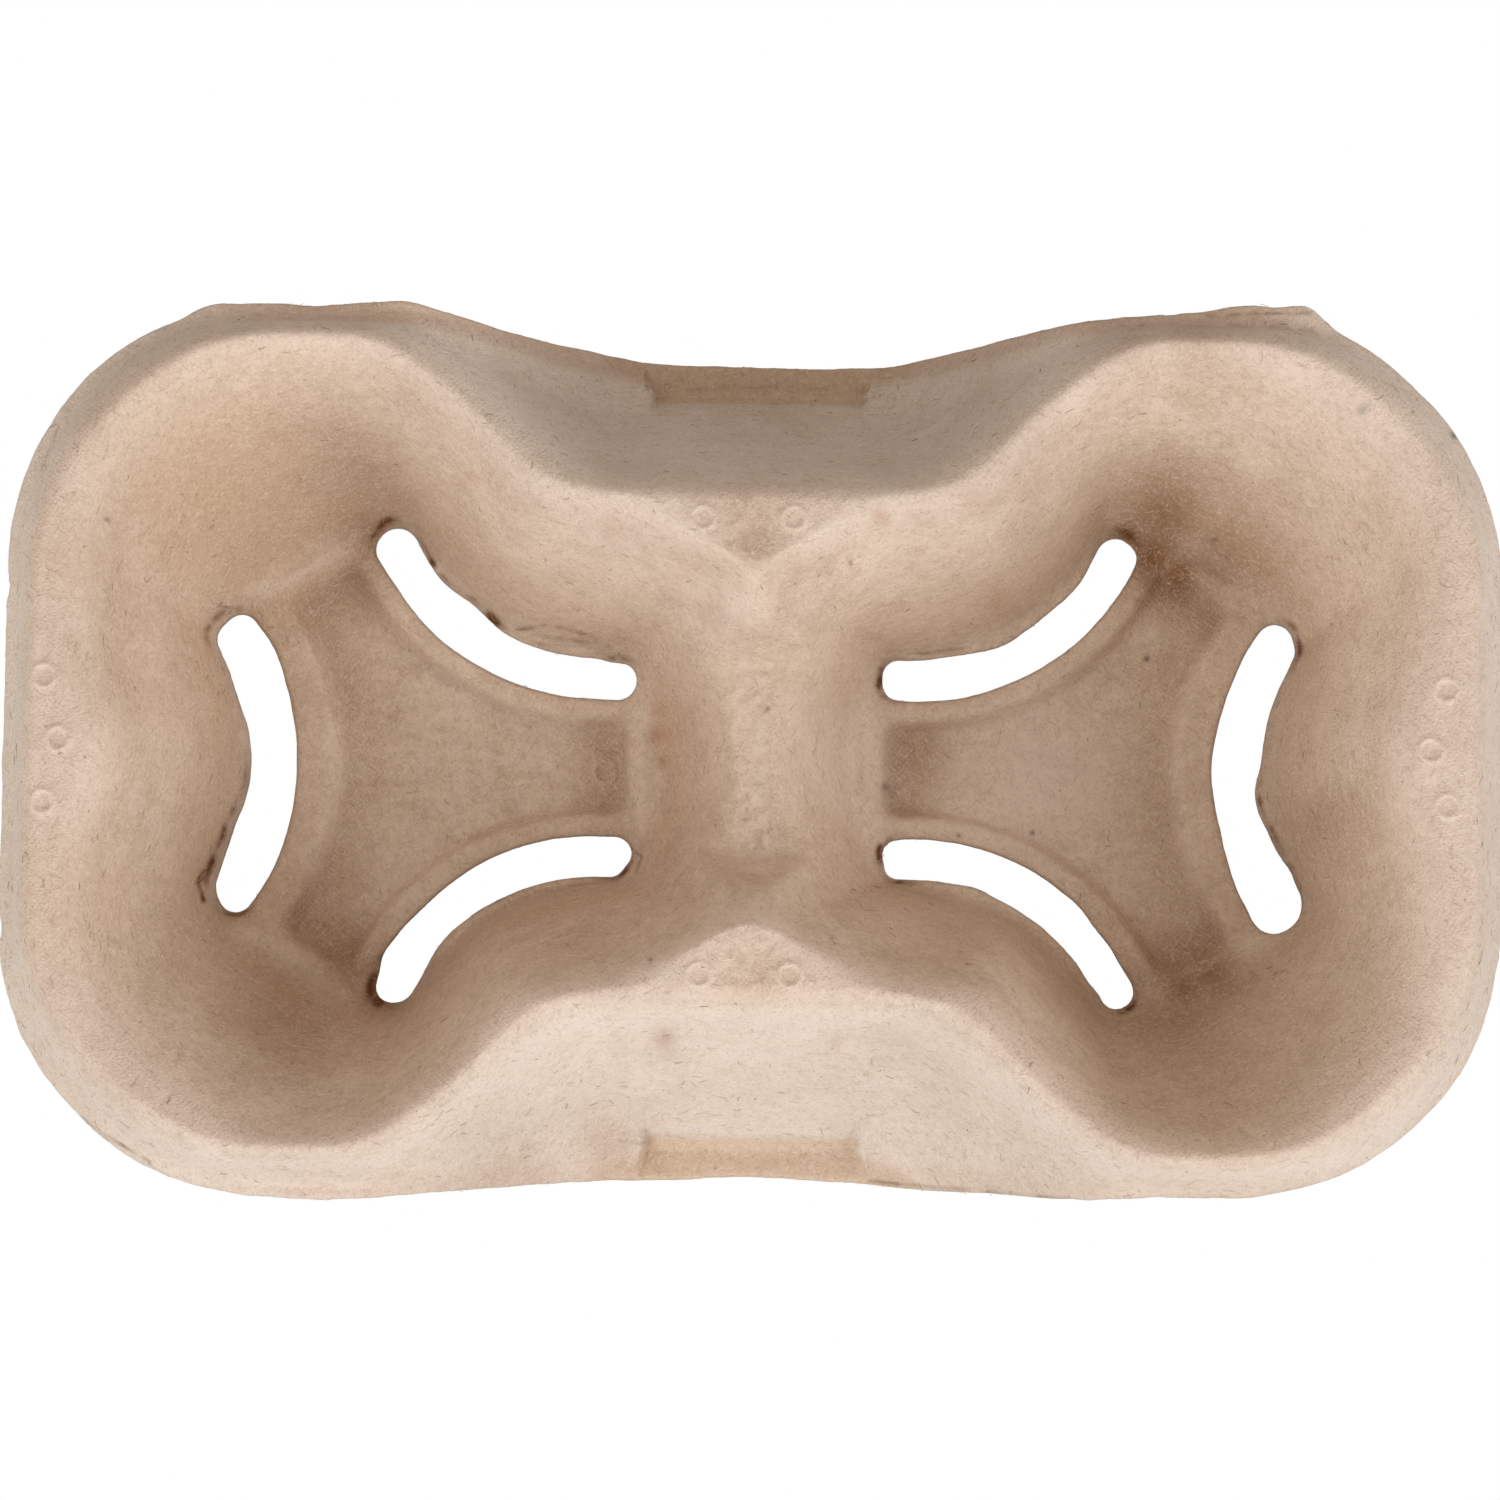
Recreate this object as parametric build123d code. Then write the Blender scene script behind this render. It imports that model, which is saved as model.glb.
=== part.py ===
import os
from math import asin, atan2, cos, degrees, exp, hypot, pi, radians, sin, sqrt

from build123d import *

os.makedirs("parts", exist_ok=True)

# Sheet: one moulded skin of even thickness, standing on its pocket floors.
wall = 2.0
height = 45.0

# Pockets: two funnels with three lobes each, side by side along X.
pitch = 98.6
lobes = 3
seat_depth = 3.5
floor_top = wall
margin_top = floor_top + seat_depth

# Foot of a pocket wall: a round cut in by three shallow bites.
foot_round = 34.2
foot_blend = 6.0
bite_radius = 29.1
foot_neck = 24.2
bite_distance = foot_neck + bite_radius

# Mouth of a pocket: a rounded triangle whose sides press inwards.
mouth_corner_distance = 27.7
mouth_corner_radius = 31.3
mouth_press = 4.0
mouth_press_width = 11.0
mouth_rounding = 0.9
ring_points = 30
rounding_angles = (45.0, 90.0)

# Slots: three curved openings, each just inside a bite of the wall foot.
slot_offset = 3.9
slot_radius = bite_radius + slot_offset
slot_width = 5.9
slot_span = 37.0

# Seat: a three-armed recess sunk between the slots.
arm_inset = 3.2
arm_length = foot_round - arm_inset
seat_gap = 6.2
inner_seat_radius = slot_radius + seat_gap
outer_seat_extra = 3.0
outer_seat_radius = inner_seat_radius + outer_seat_extra
seat_corner = 3.0
corner_limit_share = 0.42
seat_inset = 2.0
seat_outset = 0.6

# Saddle: the flat-topped ridge between the pockets.
saddle_width = 4.4
saddle_points = 9

# Angles, and the thirds where a smooth step drawn as one cubic has its inner poles.
half_turn = 180.0
full_turn = 360.0
lobe_angle = full_turn / lobes
bulge_angles = (60.0, 180.0, 300.0)
third_share = 1.0 / 3.0

# Crest: the waisted line the skirt falls from, one land outside the mouths.
end_land = 6.05
side_land = 2.3
waist_land = 4.3
waist_setback = 13.85
waist_run = 39.4
lobe_across = pitch / 2 + mouth_corner_distance / 2
lobe_along = mouth_corner_distance * sin(pi / lobes)
crest_half_length = lobe_across + mouth_corner_radius + end_land
crest_half_width = lobe_along + mouth_corner_radius + side_land
crest_half_waist = mouth_corner_radius + waist_land
crest_corner_extra = 3.7
crest_corner = mouth_corner_radius + crest_corner_extra
waist_flat = lobe_across - mouth_corner_radius - waist_setback
waist_end = waist_flat + waist_run
crest_rounding = 1.2
end_lean_share = 0.33
side_lean_share = 0.37
waist_lean_share = 0.446

# Lip: the outer edge, low at mid-length and high round the ends.
lip_height = 34.0
end_lip = 0.2
side_lip = 0.2
ledge_width = 4.8
lip_corner_extra = 2.6
lip_lead = 2.5
lip_run = 40.0
lip_drop = height - lip_height + wall
lip_half_length = crest_half_length + end_lean_share * lip_drop + end_lip
lip_half_width = crest_half_width + side_lean_share * lip_drop + side_lip
lip_half_waist = crest_half_waist + waist_lean_share * (height - wall) + ledge_width
lip_corner = crest_corner + lip_corner_extra
lip_flat = waist_flat - lip_lead
lip_end = lip_flat + lip_run

# Arch: the lip's climb from the mid-length ledge to the ends.
arch_lead = 0.5
arch_run = 34.0
arch_start = waist_flat - arch_lead
arch_end = arch_start + arch_run


def soft_min(first, second, blend):
    """Smaller of two values with a rounded change-over."""
    gap = max(blend - abs(first - second), 0)
    return min(first, second) - gap * gap / (4 * blend)


def step_curve(start, end):
    """Cubic between two points, level at both ends."""
    run = (end[0] - start[0]) * third_share
    return Edge.make_bezier(start, (start[0] + run, start[1]), (end[0] - run, end[1]), end)


def quarter_outline(length, width, waist, corner, flat, step_end):
    """Edges of one quarter of a waisted outline, from the end to the waist."""
    turn_x, turn_y = length - corner, width - corner
    bend = corner * sin(radians(half_turn / 4))
    return [
        Edge.make_line((length, 0), (length, turn_y)),
        Edge.make_three_point_arc((length, turn_y), (turn_x + bend, turn_y + bend), (turn_x, width)),
        Edge.make_line((turn_x, width), (step_end, width)),
        step_curve((step_end, width), (flat, waist)),
        Edge.make_line((flat, waist), (0, waist)),
    ]


def waisted_wire(length, width, waist, corner, flat, step_end, level):
    """Closed waisted outline at one height."""
    quarter = quarter_outline(length, width, waist, corner, flat, step_end)
    upper = quarter + [edge.mirror(Plane.YZ) for edge in quarter]
    edges = upper + [edge.mirror(Plane.XZ) for edge in upper]
    return Wire(edges).moved(Location((0, 0, level)))


def skirt_wire(level, inset):
    """Outline of the skirt at one height, drawn in by a share of the sheet."""
    drop = height - level
    length = crest_half_length + end_lean_share * drop - inset * hypot(1, end_lean_share)
    width = crest_half_width + side_lean_share * drop - inset * hypot(1, side_lean_share)
    waist = crest_half_waist + waist_lean_share * drop - inset * hypot(1, waist_lean_share)
    return waisted_wire(length, width, waist, crest_corner - inset, waist_flat, waist_end, level)


def skirt_block(bottom, top, inset, rounding):
    """Solid inside the skirt, with its top edge rounded in a few bands."""
    wires = [skirt_wire(bottom, inset), skirt_wire(top - rounding, inset)]
    for angle in rounding_angles if rounding else ():
        level = top - rounding * (1 - sin(radians(angle)))
        wires.append(skirt_wire(level, inset + rounding * (1 - cos(radians(angle)))))
    return Solid.make_loft(wires, ruled=True)


def under_block(rise):
    """Everything below the lip surface raised by the given amount."""
    top = lip_height - wall + rise
    reach = lip_half_length + pitch
    right = step_curve((arch_start, rise), (arch_end, top))
    left = right.mirror(Plane.YZ)
    outline = Wire([
        Edge.make_line((-arch_start, rise), (arch_start, rise)),
        right,
        Edge.make_line((arch_end, top), (reach, top)),
        Edge.make_line((reach, top), (reach, -height)),
        Edge.make_line((reach, -height), (-reach, -height)),
        Edge.make_line((-reach, -height), (-reach, top)),
        Edge.make_line((-reach, top), (-arch_end, top)),
        left,
    ])
    face = Face(outline).rotate(Axis.X, half_turn / 2)
    return extrude(face, reach, dir=(0, 1, 0), both=True)


def foot_radius(bend):
    """Radius of the wall foot at an angle from the nearest bite."""
    reach = bite_radius**2 - (bite_distance * sin(bend)) ** 2
    if reach <= 0:
        return foot_round
    return soft_min(bite_distance * cos(bend) - sqrt(reach), foot_round, foot_blend)


def mouth_radius(bend):
    """Radius of the pocket mouth at an angle from the nearest bite."""
    side = mouth_corner_distance / 2 + mouth_corner_radius
    turn = pi / lobes - bend
    across = mouth_corner_distance * sin(turn)
    if bend < asin(min(1, mouth_corner_distance * sin(pi / lobes)
                       / hypot(side, mouth_corner_distance * sin(pi / lobes)))):
        radius = side / cos(bend)
    else:
        radius = mouth_corner_distance * cos(turn) + sqrt(mouth_corner_radius**2 - across**2)
    offset = radius * sin(bend) / mouth_press_width
    return radius - mouth_press * exp(-offset * offset)


def wall_lean(bend):
    """Outward run of the pocket wall for each unit of rise."""
    return (mouth_radius(bend) - foot_radius(bend)) / (height - margin_top)


def bend_at(angle):
    """Angle from the nearest bite, in radians, for a polar angle in degrees."""
    return radians(abs(angle % lobe_angle - lobe_angle / 2))


def pocket_wire(level, skin, flare):
    """Closed section of the left pocket wall; skin is the distance to its other face."""
    points = []
    for number in range(ring_points):
        angle = full_turn * number / ring_points
        bend = bend_at(angle)
        lean = wall_lean(bend)
        radius = foot_radius(bend) + lean * (level - margin_top) + skin * hypot(1, lean) + flare
        across, along = radius * cos(radians(angle)), radius * sin(radians(angle))
        points.append((across - pitch / 2, along, level))
    return Wire([Edge.make_spline(points, periodic=True)])


def pocket_space():
    """Room inside the left pocket, opened out in a small round at the mouth."""
    wires = [pocket_wire(margin_top, 0, 0), pocket_wire(height - mouth_rounding, 0, 0)]
    for angle in rounding_angles:
        level = height - mouth_rounding * (1 - sin(radians(angle)))
        flare = mouth_rounding * (1 - cos(radians(angle)))
        wires.append(pocket_wire(level, 0, flare))
    wires.append(pocket_wire(height + wall, 0, mouth_rounding))
    return Solid.make_loft(wires, ruled=True)


def pocket_body():
    """Left pocket filled out to the far face of its wall."""
    lower = pocket_wire(margin_top - wall, wall, 0)
    upper = pocket_wire(height + wall, wall, 0)
    return Solid.make_loft([lower, upper], ruled=True)


def bite_centre(angle):
    """Centre of one bite, at a polar angle about the left pocket."""
    return (bite_distance * cos(radians(angle)) - pitch / 2, bite_distance * sin(radians(angle)))


def seat_wire(level, grow):
    """Three-armed outline of the left seat at one height."""
    reach = arm_length + grow
    corner = 2 * reach
    tips = [(corner * cos(radians(a)) - pitch / 2, corner * sin(radians(a))) for a in bulge_angles]
    shape = make_face(Polyline(*tips, close=True))
    for angle in bulge_angles:
        radius = outer_seat_radius if angle == half_turn else inner_seat_radius
        shape -= Pos(*bite_centre(angle)) * Circle(radius - grow)
    tip = min(edge.length for edge in shape.edges())
    shape = fillet(shape.vertices(), min(seat_corner, tip * corner_limit_share))
    return (Pos(0, 0, level) * shape).face().outer_wire()


def seat_block(bottom, top, skin):
    """Three-armed block between two heights, grown sideways by a skin."""
    lean = (seat_inset + seat_outset) / (margin_top - floor_top)
    skin_run = skin * hypot(1, lean) - seat_inset
    wires = [seat_wire(level, skin_run + lean * (level - floor_top)) for level in (bottom, top)]
    return Solid.make_loft(wires, ruled=True)


def seat_space():
    """Recess of the left seat, cut down from the margins."""
    return seat_block(floor_top, margin_top + wall, 0)


def seat_body():
    """Left seat filled out to its underside, which is the standing face."""
    return seat_block(0, margin_top - wall / 2, wall)


def slot_cuts():
    """Three curved slots of the left pocket."""
    half_span = degrees(asin(slot_span / 2 / slot_radius))
    cuts = []
    for angle in bulge_angles:
        arc = CenterArc(bite_centre(angle), slot_radius, angle + half_turn - half_span, 2 * half_span)
        cuts.append(extrude(SlotArc(arc, slot_width), height / 2, both=True))
    return cuts


def wall_height(across, along):
    """Height of the pocket wall at a place measured from the pocket centre."""
    radius, bend = hypot(across, along), bend_at(degrees(atan2(along, across)))
    return margin_top + (radius - foot_radius(bend)) / wall_lean(bend)


def saddle_space(lower):
    """Strip above the saddle, or above its underside when lowered."""
    across = pitch / 2 - saddle_width / 2
    end = sqrt(mouth_corner_radius**2 - (across - mouth_corner_distance) ** 2)
    top = height + wall
    points = []
    for number in range(saddle_points):
        along = end * (2 * number / (saddle_points - 1) - 1)
        points.append((0, along, wall_height(across, along) - lower))
    first, last = points[0], points[-1]
    outline = Wire([
        Edge.make_spline(points),
        Edge.make_line(last, (0, end, top)),
        Edge.make_line((0, end, top), (0, -end, top)),
        Edge.make_line((0, -end, top), first),
    ])
    return extrude(Face(outline), saddle_width, dir=(1, 0, 0), both=True)


def both_sides(shapes):
    """The given left-hand shapes and their mirror images."""
    return [*shapes, *[shape.mirror(Plane.YZ) for shape in shapes]]


def lip_prism():
    """Upright block inside the outline of the lip."""
    outline = waisted_wire(lip_half_length, lip_half_width, lip_half_waist, lip_corner,
                           lip_flat, lip_end, 0)
    return extrude(Face(outline), height)


def carrier():
    """One sheet: outer form, less the room below it and the room in the pockets."""
    outer = skirt_block(0, height, 0, crest_rounding)
    envelope = outer + (lip_prism() & under_block(wall))
    filled = both_sides([pocket_body(), seat_body()]) + [saddle_space(wall)]
    hollow = skirt_block(-wall, height - wall, wall, 0) + under_block(0)
    hollow = hollow - filled
    body = envelope - hollow
    for space in [saddle_space(0), *both_sides([pocket_space()])]:
        body = body - space
    return body - both_sides([seat_space(), *slot_cuts()])


def main():
    """Build the carrier and write it out."""
    export_step(carrier().solids()[0], "parts/cup_carrier.step")


main()
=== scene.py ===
"""Moulded paper-pulp carrier for two cups, seen from above in soft light.

All sizes are in millimetres until a mesh is written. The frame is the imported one, with +X along
the carrier, +Y across it, towards the back, and +Z up out of the pockets.
"""

import logging
import math
from dataclasses import dataclass, field
from enum import Enum
from itertools import starmap
from typing import Iterable, Iterator, Sequence

import bmesh
import bpy
import numpy as np
from mathutils import Matrix, Vector
from mathutils.geometry import delaunay_2d_cdt
from mathutils.kdtree import KDTree


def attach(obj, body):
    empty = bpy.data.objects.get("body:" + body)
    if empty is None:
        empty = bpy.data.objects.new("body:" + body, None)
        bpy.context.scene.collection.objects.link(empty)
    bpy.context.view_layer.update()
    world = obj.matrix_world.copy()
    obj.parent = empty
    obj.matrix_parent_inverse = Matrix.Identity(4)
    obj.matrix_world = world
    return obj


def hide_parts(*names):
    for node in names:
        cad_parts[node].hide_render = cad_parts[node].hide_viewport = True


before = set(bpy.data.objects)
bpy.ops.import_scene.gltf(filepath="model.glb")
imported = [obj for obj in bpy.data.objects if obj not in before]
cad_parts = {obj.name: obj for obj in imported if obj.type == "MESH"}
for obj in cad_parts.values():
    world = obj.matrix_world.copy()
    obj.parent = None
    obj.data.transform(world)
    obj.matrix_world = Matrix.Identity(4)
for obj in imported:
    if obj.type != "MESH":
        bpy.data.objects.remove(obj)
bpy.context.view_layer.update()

LOG = logging.getLogger("carrier")
MM = 0.001
FAR = 1e3
NODE = "cup_carrier"
# Length of one wave of the wave texture at a scale of 1.
WAVE_LENGTH = math.pi / 10
HALF_BITE_STEP = math.pi / 3
ARM_TURNS = (0.0, 2 * math.pi / 3, -2 * math.pi / 3)

Array = np.ndarray
Pair = tuple[Array, Array]
Couple = tuple[float, float]
Triple = tuple[float, float, float]
Rgba = tuple[float, float, float, float]
Socket = bpy.types.NodeSocket
Display = Triple


def soft_min(first: Array, second: Array, blend: float) -> Array:
    """Smaller of two fields, rounded over where they differ by less than the blend."""
    gap = np.maximum(blend - np.abs(first - second), 0.0)
    return np.minimum(first, second) - gap * gap / (4.0 * blend)


def soft_max(first: Array, second: Array, blend: float) -> Array:
    """Larger of two fields, rounded over by the given blend."""
    return -soft_min(-np.asarray(first), -np.asarray(second), blend)


def ease(share: Array) -> Array:
    """Smooth step from 0 to 1, level at both ends."""
    share = np.clip(share, 0.0, 1.0)
    return share * share * (3.0 - 2.0 * share)


def bump(distance: Array, reach: float) -> Array:
    """Bell that is 1 at zero distance and fades over the given reach."""
    return np.exp(-((np.asarray(distance) / reach) ** 2))


@dataclass(frozen=True)
class Ramp:
    """Smooth step from 0 at the first value to 1 at the last, which may be the smaller one."""

    first: float
    last: float

    def at(self, value: Array) -> Array:
        """Height of the step at each value."""
        return ease((value - self.first) / (self.last - self.first))


@dataclass(frozen=True)
class Bell:
    """Bell round a middle value."""

    middle: float
    reach: float

    def at(self, value: Array) -> Array:
        """Height of the bell at each value."""
        return bump(value - self.middle, self.reach)


@dataclass(frozen=True)
class Grid:
    """Even grid that covers the whole sheet; readings end a margin, in steps, before its last point."""

    half_x: float = 110.0
    half_y: float = 68.0
    step: float = 0.25
    noise_falloff: float = 4.0
    end_margin: float = 1.001

    def places(self) -> Pair:
        """Coordinates of the grid points, X first."""
        axes = (np.arange(-half, half + self.step / 2, self.step) for half in (self.half_x, self.half_y))
        return np.meshgrid(*axes, indexing="ij")

    def read(self, values: Array, x: Array, y: Array) -> Array:
        """Bilinear reading of a value kept on the grid.

        Args:
            values: the value at each grid point.
            x, y: places on the carrier.

        Returns:
            The value at each place.
        """
        columns, rows = values.shape
        u = np.clip((x + self.half_x) / self.step, 0, columns - self.end_margin)
        v = np.clip((y + self.half_y) / self.step, 0, rows - self.end_margin)
        i, j = u.astype(int), v.astype(int)
        fu, fv = u - i, v - j
        low = values[i, j] * (1 - fu) + values[i + 1, j] * fu
        high = values[i, j + 1] * (1 - fu) + values[i + 1, j + 1] * fu
        return low * (1 - fv) + high * fv

    def noise(self, length: float, seed: int) -> Array:
        """Smooth noise with a standard deviation of one.

        Args:
            length: rough size of its lumps.
            seed: fixed seed.

        Returns:
            The noise at each grid point.
        """
        raw = np.random.default_rng(seed).standard_normal(self.places()[0].shape)
        fx, fy = (np.fft.fftfreq(count, self.step) * length for count in raw.shape)
        falloff = np.exp(-self.noise_falloff * ((fx * fx)[:, None] + (fy * fy)[None, :]))
        smooth = np.fft.ifft2(np.fft.fft2(raw) * falloff).real
        return (smooth - smooth.mean()) / smooth.std()


def even_loop(points: Array, spacing: float) -> Array:
    """Closed loop through the same places with even steps.

    Args:
        points: rows of (x, y) along the loop.
        spacing: distance between the new neighbours.

    Returns:
        The new rows of (x, y).
    """
    closed = np.concatenate([points, points[:1]])
    run = np.concatenate([[0], np.cumsum(np.hypot(*np.diff(closed, axis=0).T))])
    count = int(round(run[-1] / spacing))
    marks = np.arange(count) * run[-1] / count
    return np.column_stack([np.interp(marks, run, column) for column in closed.T])


def loop_normals(points: Array) -> Array:
    """Unit normals that point out of an anticlockwise loop."""
    along = np.roll(points, -1, axis=0) - np.roll(points, 1, axis=0)
    return np.column_stack([along[:, 1], -along[:, 0]]) / np.hypot(*along.T)[:, None]


def into_sheet(loops: Sequence[Array], by: float) -> list[Array]:
    """Loops moved into the sheet: the lip's, which is the first, inward and the slots' outward."""
    return [loop + loop_normals(loop) * (by if number else -by) for number, loop in enumerate(loops)]


def on_circle(centre: Array, radius: float, angles: Array) -> Array:
    """Places on a circle at the given angles."""
    return centre + radius * np.column_stack([np.cos(angles), np.sin(angles)])


@dataclass(frozen=True)
class WaistedOutline:
    """Rounded oblong drawn in at mid-length on both long sides."""

    half_length: float
    half_width: float
    half_waist: float
    corner: float
    flat: float
    step_end: float
    blend: float = 2.0
    quarter_points: int = 200

    def waist_share(self, x: Array) -> Array:
        """Share of the way from the waist's flat to its end."""
        return np.clip((np.abs(x) - self.flat) / (self.step_end - self.flat), 0, 1)

    def waist_line(self, x: Array) -> Array:
        """Half width at each place along the carrier, corners apart."""
        return self.half_waist + (self.half_width - self.half_waist) * ease(self.waist_share(x))

    def distance(self, x: Array, y: Array) -> Array:
        """Distance from the outline.

        Args:
            x, y: places on the carrier.

        Returns:
            How far outside the outline each place is, negative inside it.
        """
        qx = np.abs(x) - (self.half_length - self.corner)
        qy = np.abs(y) - (self.half_width - self.corner)
        oblong = np.hypot(np.maximum(qx, 0), np.maximum(qy, 0)) - self.corner
        oblong = oblong + np.minimum(np.maximum(qx, qy), 0)
        share = self.waist_share(x)
        slope = (self.half_width - self.half_waist) * 6 * share * (1 - share)
        slope = slope / (self.step_end - self.flat)
        side = (np.abs(y) - self.waist_line(x)) / np.sqrt(1 + slope * slope)
        return soft_max(oblong, side, self.blend)

    def loop(self, spacing: float) -> Array:
        """Points round the outline, evenly spaced, starting at the right end.

        Args:
            spacing: distance between neighbours.

        Returns:
            An array of (x, y) rows, anticlockwise.
        """
        fine = np.linspace(0.0, 1.0, self.quarter_points)
        inner = np.array([self.half_length - self.corner, self.half_width - self.corner])
        end = np.column_stack([np.full_like(fine, self.half_length), fine * inner[1]])
        bend = on_circle(inner, self.corner, fine * math.pi / 2)
        x = inner[0] * (1 - fine)
        side = np.column_stack([x, self.waist_line(x)])
        quarter = np.concatenate([end[:-1], bend[:-1], side])
        half = np.concatenate([quarter, (quarter * [-1, 1])[::-1][1:]])
        full = np.concatenate([half, (half * [1, -1])[::-1][1:-1]])
        return even_loop(full, spacing)


@dataclass(frozen=True)
class Spot:
    """Round place on the carrier."""

    x: float
    y: float
    reach: float

    def away(self, x: Array, y: Array) -> Array:
        """Distance from its middle."""
        return np.hypot(x - self.x, y - self.y)

    def near(self, x: Array, y: Array) -> Array:
        """1 at its middle, fading over its reach."""
        return bump(self.away(x, y), self.reach)


@dataclass(frozen=True)
class Dent(Spot):
    """Place where a cut edge wanders: out is outward, which for a slot is into the sheet."""

    out: float


@dataclass(frozen=True)
class EdgeTear(Spot):
    """Torn line that follows a slot's edge near one place: brown fibres with painted shade in its gap."""

    offset: float
    width: float
    strength: float


@dataclass(frozen=True)
class TintPatch(Spot):
    """Soft spot of changed colour on the upper face; some are stains and some are painted shade."""

    strength: float


def wander(loop: Array, dents: Iterable[Dent]) -> Array:
    """Loop with each dent pushed out of, or into, its smooth line."""
    push = sum(dent.out * dent.near(*loop.T) for dent in dents)
    return loop + loop_normals(loop) * push[:, None]


@dataclass(frozen=True)
class Tear:
    """Torn or folded line on the upper face, through a few places; its darkness is brown fibres with painted
    shade in the gap.
    """

    places: tuple[Couple, ...]
    width: float
    depth: float
    stain: float

    def nearness(self, x: Array, y: Array, width: float) -> Array:
        """How near the line each place is.

        Args:
            x, y: places on the carrier.
            width: distance over which the nearness fades.

        Returns:
            1 on the line, fading to 0.
        """
        nearest = np.full(np.shape(x), FAR)
        for (ax, ay), (bx, by) in zip(self.places, self.places[1:]):
            run = (bx - ax) ** 2 + (by - ay) ** 2
            share = np.clip(((x - ax) * (bx - ax) + (y - ay) * (by - ay)) / run, 0, 1)
            gap = np.hypot(x - ax - share * (bx - ax), y - ay - share * (by - ay))
            nearest = np.minimum(nearest, gap)
        return bump(nearest, width)


def patch_strength(patches: Iterable[TintPatch], x: Array, y: Array) -> Array:
    """Strength of the strongest of a set of patches at each place."""
    return np.max([stain.strength * stain.near(x, y) for stain in patches], axis=0)


LIP_DENTS = tuple(starmap(Dent, (
    (103, 38, 13, -0.85), (93, 53, 9, -0.9), (77, 62, 3.2, 1.9), (70, 63, 6, 1), (49, 62, 11, -0.95),
    (26, 60, 6, 0.35), (7, 60, 8, -0.35), (-24, 60, 8, 0.95), (-50, 62, 5, 0.65), (-63, 63, 4, -0.3),
    (-77, 62, 3.5, 0.9), (-92, 54, 12, 0.45), (-105, 22, 2, -0.4), (-105, -26, 1.6, -0.5),
    (-95, -51, 8, -0.3), (-59, -63, 9, 0.65), (0, -60, 9, -0.65), (25, -60, 8, 0.6), (57, -63, 9, -0.9),
    (75, -62, 12, -1.2), (92, -53, 13, -1.2), (104, -33, 14, -1.1),
)))
SLOT_DENTS = tuple(starmap(Dent, (
    (-42, 22.5, 4, 0.95), (-54, 32, 3, 0.5), (-20, 16, 2.5, -0.8), (-19, 11, 3, 0.4), (-78, 21, 3, -0.95),
    (-75.5, 10, 5, 0.55), (-75, -10, 5, 0.75), (-78.5, -20, 3.5, -1.2), (-71, 16, 4, 0.3),
    (-54.5, -31, 2.5, -1.1), (-49.5, -31, 5, 0.65), (-48, -21, 8, -0.4), (-18, -15, 2, -0.7),
    (18, 13, 2.5, -0.8), (53.5, 33.5, 3, -0.4), (36, 19, 3.5, -0.5), (28, 16, 4, 0.3), (46, 27, 4, -0.3),
    (75, -22, 3, 1), (71.5, -17, 6, 0.7), (77, -14.5, 2.5, 0.5), (73.5, -3.5, 4, -1.1), (78.5, 20, 3.5, -1),
    (67, 0, 7, 0.5), (18, -13.5, 3, -1.1), (54, -28, 4, -0.6), (50, -23, 4, -0.5), (50, -33, 2, -0.5),
    (32, -17, 3, -0.4),
)))
TEARS = (
    Tear(((-35, 19.8), (-30, 20.1), (-24, 18.6), (-21, 17)), 0.25, 0.15, 0.35),
    Tear(((-33, 19), (-28, 18.4), (-22, 17.6)), 0.2, 0.1, 0.3),
    Tear(((-78, 22.3), (-75, 22.6), (-73, 22)), 0.15, 0.1, 0.5),
    Tear(((-79.2, -16), (-80, -18), (-79.2, -20.5)), 0.25, 0.2, 0.8),
    Tear(((-46, -27), (-41, -22), (-35.5, -18.6), (-23.5, -17)), 0.2, 0.1, 0.25),
    Tear(((-18, -11.8), (-16.2, -13.2), (-17, -15.6)), 0.2, 0.1, 0.4),
    Tear(((17.2, 16), (20, 15.6), (23, 15.9)), 0.2, 0.1, 0.4),
    Tear(((74.5, -9), (77, -12.8), (79, -17)), 0.2, 0.15, 0.5),
    Tear(((63, 62), (69.5, 62.3), (77.5, 62.6)), 0.25, 0.2, 0.3),
    Tear(((66, 60.4), (72, 60.2), (77.5, 59.9)), 0.5, 0.25, 0.2),
    Tear(((17, -59.4), (24, -60.1), (33, -60.9), (44.5, -62)), 0.3, 0.2, 0.3),
    Tear(((-93, -52.5), (-83, -58.5)), 0.25, 0.2, 0.35),
    Tear(((-98, 44.5), (-100, 38.5)), 0.25, 0.15, 0.25),
    Tear(((-16.9, 59.4), (-16.2, 54.4)), 0.3, 0.0, 0.25),
    Tear(((17.5, 59), (17, 54.6)), 0.4, 0.0, 0.2),
    Tear(((-16, -59), (-14.6, -54.6), (-19, -54.2)), 0.25, 0.0, 0.2),
    Tear(((16.6, -54.5), (17.2, -58.8)), 0.25, 0.0, 0.2),
    Tear(((-10.5, 56), (2, 56.6), (15, 56.1)), 0.3, 0.0, 0.15),
)
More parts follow.
